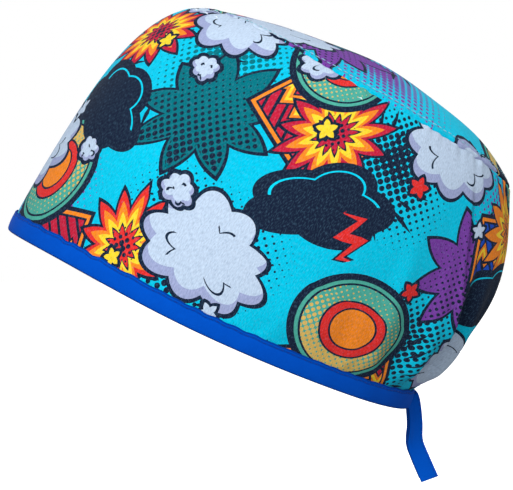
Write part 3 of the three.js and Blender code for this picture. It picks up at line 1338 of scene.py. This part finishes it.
@dataclass(frozen=True)
class BlueTape:
    """The royal blue binding tape. Pitches and places across the tape are in mm."""

    name: str = "blue_tape"
    tone: Colour = srgb(2, 83, 194)
    shade: Colour = srgb(0, 65, 164)
    # crease is the colour of the painted shade along the tape's folded edges and its stitch line.
    crease: Colour = srgb(0, 34, 104)
    patch_scale: float = 0.09
    patch_share: float = 0.5
    thread_pitch: Pair = (0.5, 3.0)
    thread_share: float = 0.35
    fold_end: float = 0.9
    far_fold: Pair = (9.5, 11.0)
    fold_shade_share: float = 0.55
    stitch_line: float = 8.6
    stitch_half_width: float = 0.45
    stitch_shade_share: float = 0.35
    weave_pitch: float = 0.5
    weave_share: float = 0.3
    roughness: float = 0.78
    roughness_spread: float = 0.15
    relief: float = 0.0001
    sheen: float = 0.01

    def material(self) -> bpy.types.Material:
        """Plain tape, with painted shade at its folds and along its stitches.

        Returns:
            The finish as a material.
        """
        graph = Graph(self.name)
        across, up = graph.cloth_place()
        patches = graph.noise(across, up, self.patch_scale, 3.0)
        wide, high = self.thread_pitch
        threads = graph.noise(across / wide, up / high, 1.0, 2.0)
        even = graph.mix(patches * self.patch_share + threads * self.thread_share, self.shade, self.tone)
        # Painted shade: the crease colour laid along the tape's folded edges and its stitch line, where
        # shade falls in the folds and stitch grooves.
        far_start, far_end = self.far_fold
        rim = (up < self.fold_end) | (up > far_start) * (up < far_end)
        stitched = (abs(up - self.stitch_line) < self.stitch_half_width) * self.stitch_shade_share
        colour = graph.mix(rim * self.fold_shade_share | stitched, even, self.crease)
        turn = 2 * math.pi / self.weave_pitch
        weave = (across * turn).sine() * (up * turn).sine() * self.weave_share + 0.5
        roughness = self.roughness + threads * self.roughness_spread
        graph.finish(colour, roughness, weave + threads * 0.5, self.relief, self.sheen)
        return graph.material


@dataclass(frozen=True)
class Thread:
    """Sewing thread, twisted."""

    name: str
    tone: Colour
    twist_scale: float = 2600.0
    twist_share: float = 0.5
    roughness: float = 0.5
    roughness_spread: float = 0.2
    relief: float = 0.00005
    sheen: float = 0.1

    def material(self) -> bpy.types.Material:
        """Light and dark strands.

        Returns:
            The finish as a material.
        """
        graph = Graph(self.name)
        place = graph.add("ShaderNodeTexCoord").outputs["Object"]
        values = {"Vector": place, "Scale": self.twist_scale, "Detail": 1.0}
        twist = Wire(graph, graph.add("ShaderNodeTexNoise", None, values).outputs[0])
        colour = graph.mix(twist * self.twist_share, self.tone, NAVY)
        roughness = self.roughness + twist * self.roughness_spread
        graph.finish(colour, roughness, twist, self.relief, self.sheen)
        return graph.material


# Stitching


@dataclass
class Stitching:
    """A row of stitches along a path, from one Geometry Nodes tree."""

    pitch: float = 0.0030
    length: float = 0.0022
    width: float = 0.00042
    seed: int = 7
    shortest: float = 0.88
    longest: float = 1.08

    def tree(self) -> bpy.types.NodeTree:
        """The tree that lays stitches along a path of edges.

        Returns:
            The one tree that every row of stitches uses.
        """
        found = bpy.data.node_groups.get("stitch_row")
        if found:
            return found
        tree = bpy.data.node_groups.new("stitch_row", "GeometryNodeTree")
        sockets = tree.interface
        sockets.new_socket("Geometry", in_out="INPUT", socket_type="NodeSocketGeometry")
        for name in ("Pitch", "Length", "Width"):
            sockets.new_socket(name, in_out="INPUT", socket_type="NodeSocketFloat")
        sockets.new_socket("Seed", in_out="INPUT", socket_type="NodeSocketInt")
        sockets.new_socket("Thread", in_out="INPUT", socket_type="NodeSocketMaterial")
        sockets.new_socket("Geometry", in_out="OUTPUT", socket_type="NodeSocketGeometry")
        add = partial(add_node, tree)
        given = add("NodeGroupInput").outputs
        path = add("GeometryNodeMeshToCurve", {}, {"Mesh": given["Geometry"]})
        paced = {"Curve": path.outputs[0], "Length": given["Pitch"]}
        even = add("GeometryNodeResampleCurve", {"mode": "LENGTH"}, paced)
        tangent = add("GeometryNodeInputTangent")
        turned = add("FunctionNodeAlignRotationToVector", {"axis": "X"}, {"Vector": tangent.outputs[0]})
        limits = {2: self.shortest, 3: self.longest, "Seed": given["Seed"]}
        dice = add("FunctionNodeRandomValue", {"data_type": "FLOAT"}, limits)
        factors = {0: given["Length"], 1: dice.outputs[1]}
        longer = add("ShaderNodeMath", {"operation": "MULTIPLY"}, factors)
        sides = {0: longer.outputs[0], 1: given["Width"], 2: given["Width"]}
        size = add("ShaderNodeCombineXYZ", {}, sides)
        # A bead one unit long and wide, which each stitch's own size then scales.
        bead = add("GeometryNodeMeshIcoSphere", {}, {"Radius": 0.5, "Subdivisions": 2})
        soft = add("GeometryNodeSetShadeSmooth", {}, {0: bead.outputs[0]})
        laid = add(
            "GeometryNodeInstanceOnPoints",
            {},
            {
                "Points": even.outputs[0],
                "Instance": soft.outputs[0],
                "Rotation": turned.outputs[0],
                "Scale": size.outputs[0],
            },
        )
        real = add("GeometryNodeRealizeInstances", {}, {0: laid.outputs[0]})
        thread = {"Geometry": real.outputs[0], "Material": given["Thread"]}
        dyed = add("GeometryNodeSetMaterial", {}, thread)
        add("NodeGroupOutput", {}, {0: dyed.outputs[0]})
        return tree

    def row(
        self, name: str, paths: list[tuple[np.ndarray, bool]], thread: bpy.types.Material
    ) -> bpy.types.Object:
        """Stitches along some paths, as one plain mesh.

        Args:
            name: the object's name.
            paths: points of each path in the shared frame, and whether it closes on itself.
            thread: the thread's material.

        Returns:
            The new object.
        """
        points: list = []
        edges: list = []
        for path, closed in paths:
            first = len(points)
            points += path.tolist()
            edges += [(first + i, first + i + 1) for i in range(len(path) - 1)]
            if closed:
                edges.append((len(points) - 1, first))
        mesh = bpy.data.meshes.new(name)
        mesh.from_pydata(points, edges, [])
        guide = link_object(name, mesh)
        modifier = guide.modifiers.new("stitches", "NODES")
        modifier.node_group = self.tree()
        given = {
            "Pitch": self.pitch,
            "Length": self.length,
            "Width": self.width,
            "Seed": self.seed,
            "Thread": thread,
        }
        for item in modifier.node_group.interface.items_tree:
            if item.in_out == "INPUT" and item.name in given:
                modifier[item.identifier] = given[item.name]
        return plain_copy(guide)


TAPE_STITCHING = Stitching(pitch=0.0029, length=0.0020, width=0.00036)


# Sub-assemblies


@dataclass
class SidePanel:
    """The deep panel round the head, gathered at the back, with its slit.

    Lengths are in metres, turns and leans in degrees. Rows and the stitched run are shares of the
    height, 0 at the binding and 1 at the crown seam. Of two pairs, the first is where something
    rises and the second is where it fades.
    """

    form: CapForm
    columns: int = 461
    rows: int = 84
    hem_rows: int = 6
    thickness: float = 0.0008
    hem_rise: float = 0.0013
    hem_width: float = 0.0045
    hem_step: float = 0.0008
    hem_lift: float = 0.0004
    slit_least: float = 0.01
    slope_length: float = 1.1
    cloth_length: float = 1.12
    pucker: float = 0.00035
    seam_puckers: Ripples = Ripples(3, 0.010)
    seam_pucker_reach: float = 0.008
    tape_puckers: Ripples = Ripples(4, 0.012)
    tape_pucker_reach: float = 0.007
    tape_pucker_share: float = 0.8
    crease: float = 0.0006
    creases: Ripples = Ripples(5, 0.052)
    crease_stretch: Pair = (0.8, 0.45)
    crease_least: float = 0.5
    crease_growth: float = 1.1
    crease_back: Pair = (70.0, 150.0)
    crease_rows: tuple[Pair, Pair] = ((0.0, 0.14), (0.86, 1.0))
    gather: float = 0.0015
    gathers: Ripples = Ripples(8, 0.019)
    gather_lean: float = 0.25
    gather_turns: tuple[Pair, Pair] = ((112.0, 140.0), (168.0, 176.0))
    gather_rows: tuple[Pair, Pair] = ((0.02, 0.12), (0.3, 0.72))
    tuck_foot: float = 160.0
    tuck_lean: float = 30.0
    tuck_flare: float = 14.0
    tuck_flare_share: float = 0.1
    tuck_depth: float = 0.0021
    tuck_edge: float = 0.0008
    tuck_run: float = 0.0075
    tuck_rows: tuple[Pair, Pair] = ((0.03, 0.18), (0.6, 0.92))
    middle_share: float = 0.4
    turned_in: tuple[Pair, ...] = (
        (0.0005, 0.0004),
        (0.0006, 0.0011),
        (0.0, 0.0016),
        (-0.003, 0.0016),
        (-0.006, 0.0016),
    )
    stitched: Pair = (0.03, 0.235)
    stitch_points: int = 60
    stitch_inset: float = 0.0037
    stitch_lift: float = 0.00008
    last_stitch_turn: float = 178.5

    def slit_turn(self, share: np.ndarray) -> np.ndarray:
        """Where the panel ends beside the slit.

        Args:
            share: 0 at the top of the binding, 1 at the crown seam.

        Returns:
            The last turn at each height, which is 180 degrees above the slit.
        """
        beside = 10.0
        rise = self.form.wall(np.full_like(share, 180.0), share)[..., 2]
        across = self.form.wall(np.full_like(share, 180.0 - beside), share)[..., 0]
        radius = across / math.sin(math.radians(beside))
        return 180 - np.degrees(np.arcsin(np.clip(self.form.slit_half(rise) / radius, 0, 1)))

    def tuck(self, turn: np.ndarray, share: np.ndarray) -> np.ndarray:
        """How far out the cloth lies at the tuck on each side of the back.

        Args:
            turn: degrees round from the forehead.
            share: 0 at the top of the binding, 1 at the crown seam.

        Returns:
            The offset, which rises to the tuck's edge from the front, drops there and recovers behind it.
        """
        flare = self.tuck_flare * np.exp(-np.abs(share) / self.tuck_flare_share)
        line = self.tuck_foot - self.tuck_lean * share + flare
        away = np.radians(np.abs(turn) - line) * self.form.opening_length / 2
        lap = -np.tanh(away / self.tuck_edge) * np.exp(-np.abs(away) / self.tuck_run)
        return self.tuck_depth * lap * within(share, self.tuck_rows)

    def puckers(self, around: np.ndarray, share: np.ndarray) -> np.ndarray:
        """The fine puckers beside the crown seam and above the tape.

        Args:
            around: the place round the cloth, in metres.
            share: 0 at the top of the binding, 1 at the crown seam.

        Returns:
            Their height, about -1 to 1.
        """
        slope = self.form.wall_height * self.slope_length
        below_seam = (1 - share) * slope
        above_tape = np.abs(share) * slope
        at_seam = self.seam_puckers.along(around) * np.exp(-below_seam / self.seam_pucker_reach)
        at_tape = self.tape_pucker_share * self.tape_puckers.along(around)
        return at_seam + at_tape * np.exp(-above_tape / self.tape_pucker_reach) * (share > 0)

    def surface(self, turn: np.ndarray, share: np.ndarray) -> np.ndarray:
        """The panel's outer face with its folds, tuck, gathers, puckers, creases and hem.

        Args:
            turn: degrees round from the forehead.
            share: 0 at the top of the binding, 1 at the crown seam.

        Returns:
            The points in the cap's own frame.
        """
        form = self.form
        round_back = np.abs(turn)
        around = self.cloth_across(turn)
        up = form.wall_height * self.cloth_length * share
        points = form.wall(turn, share) + form.outward(turn) * form.fold_offset(turn, share)[..., None]
        wide, high = self.crease_stretch
        growth = self.crease_least + self.crease_growth * smooth_step(round_back, *self.crease_back)
        creases = self.creases.over(around * wide, up * high) * growth * within(share, self.crease_rows)
        gathered = within(round_back, self.gather_turns) * within(share, self.gather_rows)
        gathers = self.gathers.along(around + self.gather_lean * up) * gathered
        last = self.slit_turn(share)
        from_slit = (last - round_back) * math.radians(1) * form.opening_width / 2
        hem = 1 - smooth_step(from_slit, self.hem_width, self.hem_width + self.hem_step)
        offset = (
            self.pucker * self.puckers(around, share)
            + self.crease * creases
            + self.gather * gathers
            + self.hem_lift * hem * (last < 180 - self.slit_least)
            + self.tuck(turn, share)
        )
        return points + form.wall_normal(turn, share) * offset[..., None]

    def cloth_across(self, turn: np.ndarray) -> np.ndarray:
        """The place round the cloth.

        Args:
            turn: degrees round from the forehead.

        Returns:
            The arc length round the middle of the panel from the forehead, in metres.
        """
        half_turn = 180
        fine = np.linspace(-half_turn, half_turn, 4 * half_turn + 1)
        line = self.form.wall(fine, np.full_like(fine, self.middle_share))
        arc = np.concatenate(([0.0], np.cumsum(np.linalg.norm(np.diff(line, axis=0), axis=-1))))
        return np.interp(turn, fine, arc - arc[2 * half_turn])

    def build(self) -> bpy.types.Object:
        """The panel as an open sheet with its top edge turned in.

        Returns:
            The object, whose UV map is the place on the printed cloth.
        """
        form = self.form
        low = self.hem_rise / form.tape_width - 1
        hem = np.linspace(low, 0, self.hem_rows)[:-1]
        shares = np.concatenate((hem, np.linspace(0, 1, self.rows)))
        turn = form.spread(self.columns)[None, :] * self.slit_turn(shares)[:, None] / 180
        body = self.surface(turn, np.broadcast_to(shares[:, None], turn.shape))
        top = turn[-1]
        normal = form.wall_normal(top, np.ones_like(top))
        onward = form.wall_upward(top)
        turned = [body[-1] + onward * run - normal * depth for run, depth in self.turned_in]
        points = np.concatenate((body, np.stack(turned)))
        steps = np.linalg.norm(np.diff(points[:, self.columns // 4], axis=0), axis=-1)
        climb = np.concatenate(([0.0], np.cumsum(steps)))
        turns = np.concatenate((turn, np.repeat(turn[-1:], len(turned), axis=0)))
        uv = np.stack((self.cloth_across(turns), np.broadcast_to(climb[:, None], turns.shape)), axis=-1)
        return grid_mesh("side_panel_cloth", form.tilted(points), uv)

    def slit_stitch_path(self, side: int) -> np.ndarray:
        """The stitch line of the slit's hem.

        Args:
            side: 1 for the wearer's left, -1 for the right.

        Returns:
            Its points in the shared frame, from the binding up.
        """
        share = np.linspace(*self.stitched, self.stitch_points)
        turn = self.slit_turn(share) - math.degrees(self.stitch_inset / (self.form.opening_width / 2))
        turn = side * np.minimum(turn, self.last_stitch_turn)
        points = self.surface(turn, share) + self.form.wall_normal(turn, share) * self.stitch_lift
        return self.form.tilted(points)

    def dress(
        self, outside: bpy.types.Material, inside: bpy.types.Material, thread: bpy.types.Material
    ) -> None:
        """Builds the panel and its slit stitching, and ties them to the frame.

        Args:
            outside: the right side of the cloth.
            inside: its reverse.
            thread: the sewing thread.
        """
        piece = give_wall(self.build(), outside, inside, self.thickness)
        paths = [(self.slit_stitch_path(side), False) for side in (-1, 1)]
        stitches = Stitching().row("slit_hem_stitches", paths, thread)
        dress(piece, "printed_cotton", "side_panel")
        dress(stitches, "printed_cotton")


@dataclass
class CrownPanel:
    """The oval top, sewn to the side panel. Lengths are in metres, and the print's turn in degrees."""

    form: CapForm
    columns: int = 321
    rows: int = 60
    row_crowding: float = 1.15
    thickness: float = 0.0008
    topstitch: float = 0.005
    stitch_points: int = 360
    stitch_lift: float = 0.00015
    groove: float = 0.00025
    groove_width: float = 0.0009
    swell: float = 0.0004
    pucker: float = 0.0003
    puckers: Ripples = Ripples(11, 0.009)
    pucker_reach: float = 0.006
    pucker_start: float = 0.002
    unevenness: float = 0.00045
    waves: Ripples = Ripples(12, 0.06)
    wave_start: Pair = (0.006, 0.03)
    probe_share: float = 0.02
    lead: float = 0.0015
    first_row: float = 0.0013
    allowance: tuple[float, ...] = (0.006, 0.003, 0.0014)
    allowance_depth: float = 0.0024
    roll_run: float = 0.0011
    roll_depth: float = 0.0013
    roll_drop: float = 0.0002
    print_turn: float = 38.0
    print_place: Pair = (0.9, 0.63)

    def seam_run(self, turn: np.ndarray) -> np.ndarray:
        """How long a share of 1 is at the seam, in metres."""
        near = self.form.crown(turn, np.full_like(turn, self.probe_share))
        return np.linalg.norm(near - self.form.seam(turn), axis=-1) / self.probe_share

    def surface(self, turn: np.ndarray, share: np.ndarray) -> np.ndarray:
        """The crown's outer face with its puckers and the groove of its topstitch.

        Args:
            turn: degrees round from the forehead.
            share: 0 at the seam, 1 at the top of the dome.

        Returns:
            The points in the cap's own frame.
        """
        form = self.form
        points = form.crown(turn, share)
        around = np.radians(turn) * form.crown_length / 2
        from_seam = np.linalg.norm(points - form.seam(turn), axis=-1)
        fading = np.exp(-from_seam / self.pucker_reach) * smooth_step(from_seam, 0, self.pucker_start)
        puckers = self.pucker * self.puckers.along(around) * fading
        groove = -self.groove * np.exp(-(((from_seam - self.topstitch) / self.groove_width) ** 2))
        swell = self.swell * np.sin(np.clip(from_seam / self.topstitch, 0, 1) * math.pi)
        waves = self.waves.over(points[..., 0], points[..., 1]) * smooth_step(from_seam, *self.wave_start)
        points[..., 2] += puckers + groove + swell + self.unevenness * waves
        return points

    def build(self) -> bpy.types.Object:
        """The crown as an open sheet with its edge turned down inside the side panel.

        Returns:
            The object, whose UV map is the place on the printed cloth.
        """
        form = self.form
        turn = form.spread(self.columns)
        run = self.seam_run(turn)
        normal = form.wall_normal(turn, np.ones_like(turn))
        onward = form.wall_upward(turn)
        seam = form.seam(turn)
        inward = unit(form.crown(turn, self.lead / run) - seam)
        hidden = [seam - onward * down - normal * self.allowance_depth for down in self.allowance]
        hidden.append(seam + inward * self.roll_run - normal * self.roll_depth - onward * self.roll_drop)
        first = self.first_row / run
        inwards = np.linspace(0, 1, self.rows)[:, None] ** self.row_crowding
        shares = first[None, :] + (1 - first[None, :]) * inwards
        body = self.surface(np.broadcast_to(turn, shares.shape), shares)
        points = np.concatenate((np.stack(hidden), body))
        points[-1] = points[-1].mean(axis=0)
        a = math.radians(self.print_turn)
        x, y = points[..., 0], points[..., 1]
        across, up = self.print_place
        place = (x * math.cos(a) - y * math.sin(a) + across, x * math.sin(a) + y * math.cos(a) + up)
        return grid_mesh("crown_cloth", form.tilted(points), np.stack(place, axis=-1))

    def stitch_path(self) -> np.ndarray:
        """The topstitch line.

        Returns:
            Its points in the shared frame, all the way round.
        """
        turn = np.linspace(-180, 180, self.stitch_points, endpoint=False)
        points = self.surface(turn, self.topstitch / self.seam_run(turn))
        points[..., 2] += self.stitch_lift
        return self.form.tilted(points)

    def dress(
        self, outside: bpy.types.Material, inside: bpy.types.Material, thread: bpy.types.Material
    ) -> None:
        """Builds the crown and its topstitch, and ties them to the frame.

        Args:
            outside: the right side of the cloth.
            inside: its reverse.
            thread: the sewing thread.
        """
        piece = give_wall(self.build(), outside, inside, self.thickness)
        stitches = Stitching().row("crown_topstitch", [(self.stitch_path(), True)], thread)
        dress(piece, "printed_cotton", "crown_panel")
        dress(stitches, "printed_cotton")


# The binding's section: how far out of the cloth's face and how far above the opening's edge, in mm.
BINDING_SECTION = (
    (0.6, 0.0), (1.05, 0.25), (1.35, 0.9), (1.5, 2.2), (1.56, 4.0), (1.5, 6.0), (1.36, 7.4),
    (1.12, 8.15), (1.2, 8.7), (1.2, 9.3), (1.0, 9.65), (0.65, 9.7), (0.4, 9.4), (0.3, 8.2),
    (0.3, 4.5), (0.3, 1.1), (-0.6, 0.95), (-1.5, 1.1), (-1.5, 4.5), (-1.5, 8.2), (-1.55, 9.4),
    (-1.8, 9.7), (-2.15, 9.6), (-2.35, 9.2), (-2.3, 8.15), (-2.5, 7.4), (-2.6, 5.0), (-2.55, 2.6),
    (-2.3, 0.9), (-1.8, 0.25), (-1.2, 0.0),
)


@dataclass
class RimBinding:
    """The folded tape round the head opening."""

    form: CapForm
    columns: int = 520
    sway: float = 0.00024
    waves: Ripples = Ripples(23, 0.012)
    stitch_rise: float = 0.00815
    stitch_outs: Pair = (0.00116, -0.00234)
    stitch_margin: int = 2

    def at(self, turn: np.ndarray, out: float, rise: float) -> np.ndarray:
        """Points on the tape at one place of its section, which waves a little up and down.

        Args:
            turn: degrees round from the forehead.
            out: how far out of the cloth's face the place is, in metres.
            rise: how far above the opening's edge it is, in metres.

        Returns:
            The points in the cap's own frame.
        """
        form = self.form
        edge = form.wall(turn, -np.ones_like(turn))
        up = (form.wall(turn, np.zeros_like(turn)) - edge) / form.tape_width
        normal = form.wall_normal(turn, np.full_like(turn, -0.5))
        around = np.radians(turn) * form.opening_length / 2
        wave = self.sway * self.waves.along(around) * rise / form.tape_width
        return edge + up * (rise + wave)[..., None] + normal * out

    def dress(self, tape: bpy.types.Material, thread: bpy.types.Material) -> None:
        """Builds the binding and its stitching, and ties them to the frame.

        Args:
            tape: the tape's material.
            thread: the sewing thread.
        """
        turn = self.form.spread(self.columns) * self.form.binding_end / 180
        rings = np.stack([self.at(turn, out * MM, rise * MM) for out, rise in BINDING_SECTION], axis=1)
        piece = swept_mesh("binding_tape", self.form.tilted(rings))
        piece.data.materials.append(tape)
        span = turn[self.stitch_margin : -self.stitch_margin]
        rows = [self.form.tilted(self.at(span, out, self.stitch_rise)) for out in self.stitch_outs]
        stitches = TAPE_STITCHING.row("binding_stitches", [(row, False) for row in rows], thread)
        dress(piece, "blue_tape", "rim_binding")
        dress(stitches, "blue_tape")


# A tie's section: two leaves of tape joined at one side, across and through the tape, in mm.
TIE_SECTION = (
    (-4.8, 0.0), (-4.7, -0.5), (-4.4, -0.85), (-3.0, -0.98), (0.0, -1.0), (2.6, -0.92), (3.7, -0.78),
    (4.3, -0.86), (4.7, -0.75), (4.8, -0.45), (4.65, -0.16), (3.0, -0.1), (-0.5, -0.1), (-3.6, -0.08),
    (-3.9, 0.0), (-3.6, 0.08), (-0.5, 0.1), (3.0, 0.1), (4.65, 0.16), (4.8, 0.45), (4.7, 0.75),
    (4.3, 0.86), (3.7, 0.78), (2.6, 0.92), (0.0, 1.0), (-3.0, 0.98), (-4.4, 0.85), (-4.7, 0.5),
)

# Where the tie's two rows of stitches run, on the same section.
TIE_STITCHES = ((3.6, -0.8), (3.6, 0.8))


@dataclass
class Tie:
    """A short tie: the tape folded shut and stitched, hanging from the binding's end.

    Lengths are in metres, but the bend starts at a place in mm across the section. The cut is the
    slant of the tie's end in degrees, and the other steps and spans are shares of the length.
    """

    form: CapForm
    side: int
    length: float = 0.040
    cut: float = 7.0
    gap: float = 0.0003
    steps: int = 72
    direction_step: float = 1 / 18
    cut_from: float = 0.9
    bend_from: float = -2.4
    bend_across: float = 0.25
    bend_through: float = 0.8
    bend_spans: tuple[Pair, Pair] = ((0.08, 0.3), (0.55, 0.75))
    stitched: Pair = (0.03, 0.98)
    stitch_points: int = 40

    def along(self, name: str, t: np.ndarray) -> np.ndarray:
        """One column of the tie's route.

        Args:
            name: the column, which is a field of TieStop.
            t: places along the tie, from 0 to 1.

        Returns:
            The column's value at each place, smooth from the first stop to the last.
        """
        values = [getattr(stop, name) for stop in TIE_ROUTE]
        return curve_through(np.array((values[0], *values, values[-1])), t * (len(values) - 1))

    def middle(self, t: np.ndarray) -> np.ndarray:
        """The tie's middle line, on the wearer's left.

        Args:
            t: places along the tie, from 0 to 1.

        Returns:
            The points in the shared frame.
        """
        end = self.form.wall(np.array([self.form.binding_end]), np.array([-0.5]))
        inward = -self.gap - self.length * self.along("inward", t)
        back = self.length * self.along("back", t)
        down = -self.length * self.along("down", t)
        return self.form.tilted(end)[0] + np.stack((inward, back, down), axis=-1)

    def rings(self, section: tuple[Pair, ...], t: np.ndarray) -> np.ndarray:
        """The section laid at each place along the tie.

        Args:
            section: points across and through the tape, in mm.
            t: places along the tie, from 0 to 1.

        Returns:
            Places by points by 3, in the shared frame.
        """
        before, after = np.maximum(t - self.direction_step, 0), np.minimum(t + self.direction_step, 1)
        run = unit(self.middle(after) - self.middle(before))
        slope = np.radians(self.along("lift", t))
        turned = np.radians(self.along("face", t))
        level = (-np.sin(turned) * np.cos(slope), np.cos(turned) * np.cos(slope), np.sin(slope))
        across = np.stack(level, axis=-1)
        across = unit(across - run * np.sum(across * run, axis=-1, keepdims=True))
        thick = np.cross(run, across)
        shear = math.tan(math.radians(self.cut)) * smooth_step(t, self.cut_from, 1.0)
        bend = within(t, self.bend_spans)
        columns = []
        for x, y in section:
            past = min(x - self.bend_from, 0.0) * MM * bend[:, None]
            wide = x * MM - self.bend_across * past
            deep = y * MM - self.bend_through * past
            point = self.middle(t) + across * wide + thick * deep + run * shear[:, None] * wide
            columns.append(point * np.array((self.side, 1, 1)))
        return np.stack(columns, axis=1)

    def dress(self, tape: bpy.types.Material, thread: bpy.types.Material) -> None:
        """Builds the tie and its stitching, and ties them to the frame.

        Args:
            tape: the tape's material.
            thread: the sewing thread.
        """
        where = "left" if self.side > 0 else "right"
        piece = swept_mesh(f"tie_{where}_tape", self.rings(TIE_SECTION, np.linspace(0, 1, self.steps)))
        piece.data.materials.append(tape)
        faces = self.rings(TIE_STITCHES, np.linspace(*self.stitched, self.stitch_points))
        paths = [(faces[:, face], False) for face in range(len(TIE_STITCHES))]
        stitches = TAPE_STITCHING.row(f"tie_{where}_stitches", paths, thread)
        dress(piece, "blue_tape", f"tie_{where}")
        dress(stitches, "blue_tape")


# Studio


@dataclass(frozen=True)
class Lamp:
    """A square soft light. Its place and size are in metres, its power in watts."""

    name: str
    place: tuple[float, float, float]
    size: float
    power: float


LAMPS = (
    Lamp("key", (1.05, -0.28, 0.6), 0.5, 13.5),
    Lamp("fill", (1.1, 0.22, 0.3), 0.8, 3.6),
    Lamp("rim", (-0.5, 0.0, 1.0), 0.6, 3.5),
    Lamp("back", (-0.45, 1.1, 0.5), 0.8, 3.6),
    Lamp("far side", (-1.1, -0.35, 0.35), 0.8, 5.0),
)


@dataclass(frozen=True)
class Studio:
    """A pale floor, soft lights and the camera of the photograph."""

    aim: tuple[float, float, float] = (0.0, 0.0239, 0.037)
    azimuth: float = 90.0
    elevation: float = 2.0
    distance: float = 0.9
    focal_pixels: float = 1855.7
    image_width: float = 513.0
    sensor_width: float = 36.0
    near_clip: float = 0.01
    sky_tone: Colour = (0.97, 0.98, 1.0, 1.0)
    sky_strength: float = 0.34
    white: Colour = (1.0, 1.0, 1.0, 1.0)
    floor_drop: float = 0.125
    floor_reach: float = 4.0
    floor_tone: Colour = srgb(240, 240, 240)
    floor_roughness: float = 0.9

    def facing(self, place: Vector) -> Euler:
        """The turn that makes a camera or lamp at the place face the cap."""
        return (Vector(self.aim) - place).to_track_quat("-Z", "Y").to_euler()

    def camera(self) -> None:
        """Makes the camera."""
        data = bpy.data.cameras.new("camera")
        data.sensor_width = self.sensor_width
        data.lens = self.focal_pixels / self.image_width * self.sensor_width
        data.clip_start = self.near_clip
        camera = bpy.data.objects.new("camera", data)
        bpy.context.scene.collection.objects.link(camera)
        a, e = math.radians(self.azimuth), math.radians(self.elevation)
        away = Vector((math.sin(a) * math.cos(e), -math.cos(a) * math.cos(e), math.sin(e)))
        camera.location = Vector(self.aim) + away * self.distance
        camera.rotation_euler = self.facing(camera.location)
        bpy.context.scene.camera = camera

    def light(self, lamp: Lamp) -> None:
        """Adds a square soft light that faces the cap.

        Args:
            lamp: its name, place, size and power.
        """
        data = bpy.data.lights.new(lamp.name, "AREA")
        data.size = lamp.size
        data.energy = lamp.power
        light = bpy.data.objects.new(lamp.name, data)
        light.location = lamp.place
        light.rotation_euler = self.facing(Vector(lamp.place))
        bpy.context.scene.collection.objects.link(light)

    def surroundings(self) -> None:
        """Makes a white surround that shows white and lights the cap softly."""
        world = bpy.data.worlds.new("surround")
        bpy.context.scene.world = world
        world.use_nodes = True
        world.node_tree.nodes.clear()
        add = partial(add_node, world.node_tree)
        sky = add("ShaderNodeBackground", {}, {"Color": self.sky_tone, "Strength": self.sky_strength})
        seen = add("ShaderNodeBackground", {}, {"Color": self.white, "Strength": 1.0})
        path = add("ShaderNodeLightPath")
        inputs = {0: path.outputs["Is Camera Ray"], 1: sky.outputs[0], 2: seen.outputs[0]}
        mixed = add("ShaderNodeMixShader", {}, inputs)
        add("ShaderNodeOutputWorld", {}, {0: mixed.outputs[0]})

    def floor(self) -> None:
        """Makes the pale floor below the cap."""
        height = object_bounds()[0][2] - self.floor_drop
        reach = self.floor_reach
        corners = [(x * reach, y * reach, height) for x, y in ((-1, -1), (1, -1), (1, 1), (-1, 1))]
        mesh = bpy.data.meshes.new("floor")
        mesh.from_pydata(corners, [], [(0, 1, 2, 3)])
        graph = Graph("pale_floor")
        values = {
            "Base Color": self.floor_tone,
            "Roughness": self.floor_roughness,
            "Emission Color": self.white,
            "Emission Strength": 1.0,
        }
        surface = graph.add("ShaderNodeBsdfPrincipled", None, values)
        graph.add("ShaderNodeOutputMaterial", None, {"Surface": surface.outputs[0]})
        mesh.materials.append(graph.material)
        floor = link_object("floor", mesh)
        floor.visible_diffuse = False
        floor.visible_glossy = False
        floor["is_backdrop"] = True

    def build(self) -> None:
        """Makes the camera, the surround, the lights and the floor."""
        bpy.context.scene.view_settings.view_transform = "Standard"
        self.camera()
        self.surroundings()
        for lamp in LAMPS:
            self.light(lamp)
        self.floor()


def main() -> None:
    """Builds the scene and dresses every piece of the cap."""
    logging.basicConfig(level=logging.INFO, format="%(name)s: %(message)s")
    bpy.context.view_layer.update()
    Studio().build()
    form = CapForm()
    cotton = PrintedCotton().material()
    reverse = CottonReverse().material()
    tape = BlueTape().material()
    # The ties take a copy of the tape with lighter tones: painted light, brighter where the ties hang in
    # the light.
    tie_tape_painted_lighter = BlueTape("blue_tape_painted_lighter_for_ties", tone=srgb(3, 86, 196), shade=srgb(0, 68, 166)).material()
    pale_thread = Thread("pale_thread", tone=srgb(150, 205, 220)).material()
    blue_thread = Thread("blue_thread", tone=srgb(2, 52, 150)).material()
    SidePanel(form).dress(cotton, reverse, pale_thread)
    CrownPanel(form).dress(cotton, reverse, pale_thread)
    RimBinding(form).dress(tape, blue_thread)
    for side in (1, -1):
        Tie(form, side).dress(tie_tape_painted_lighter, blue_thread)


if __name__ == "__main__":
    main()
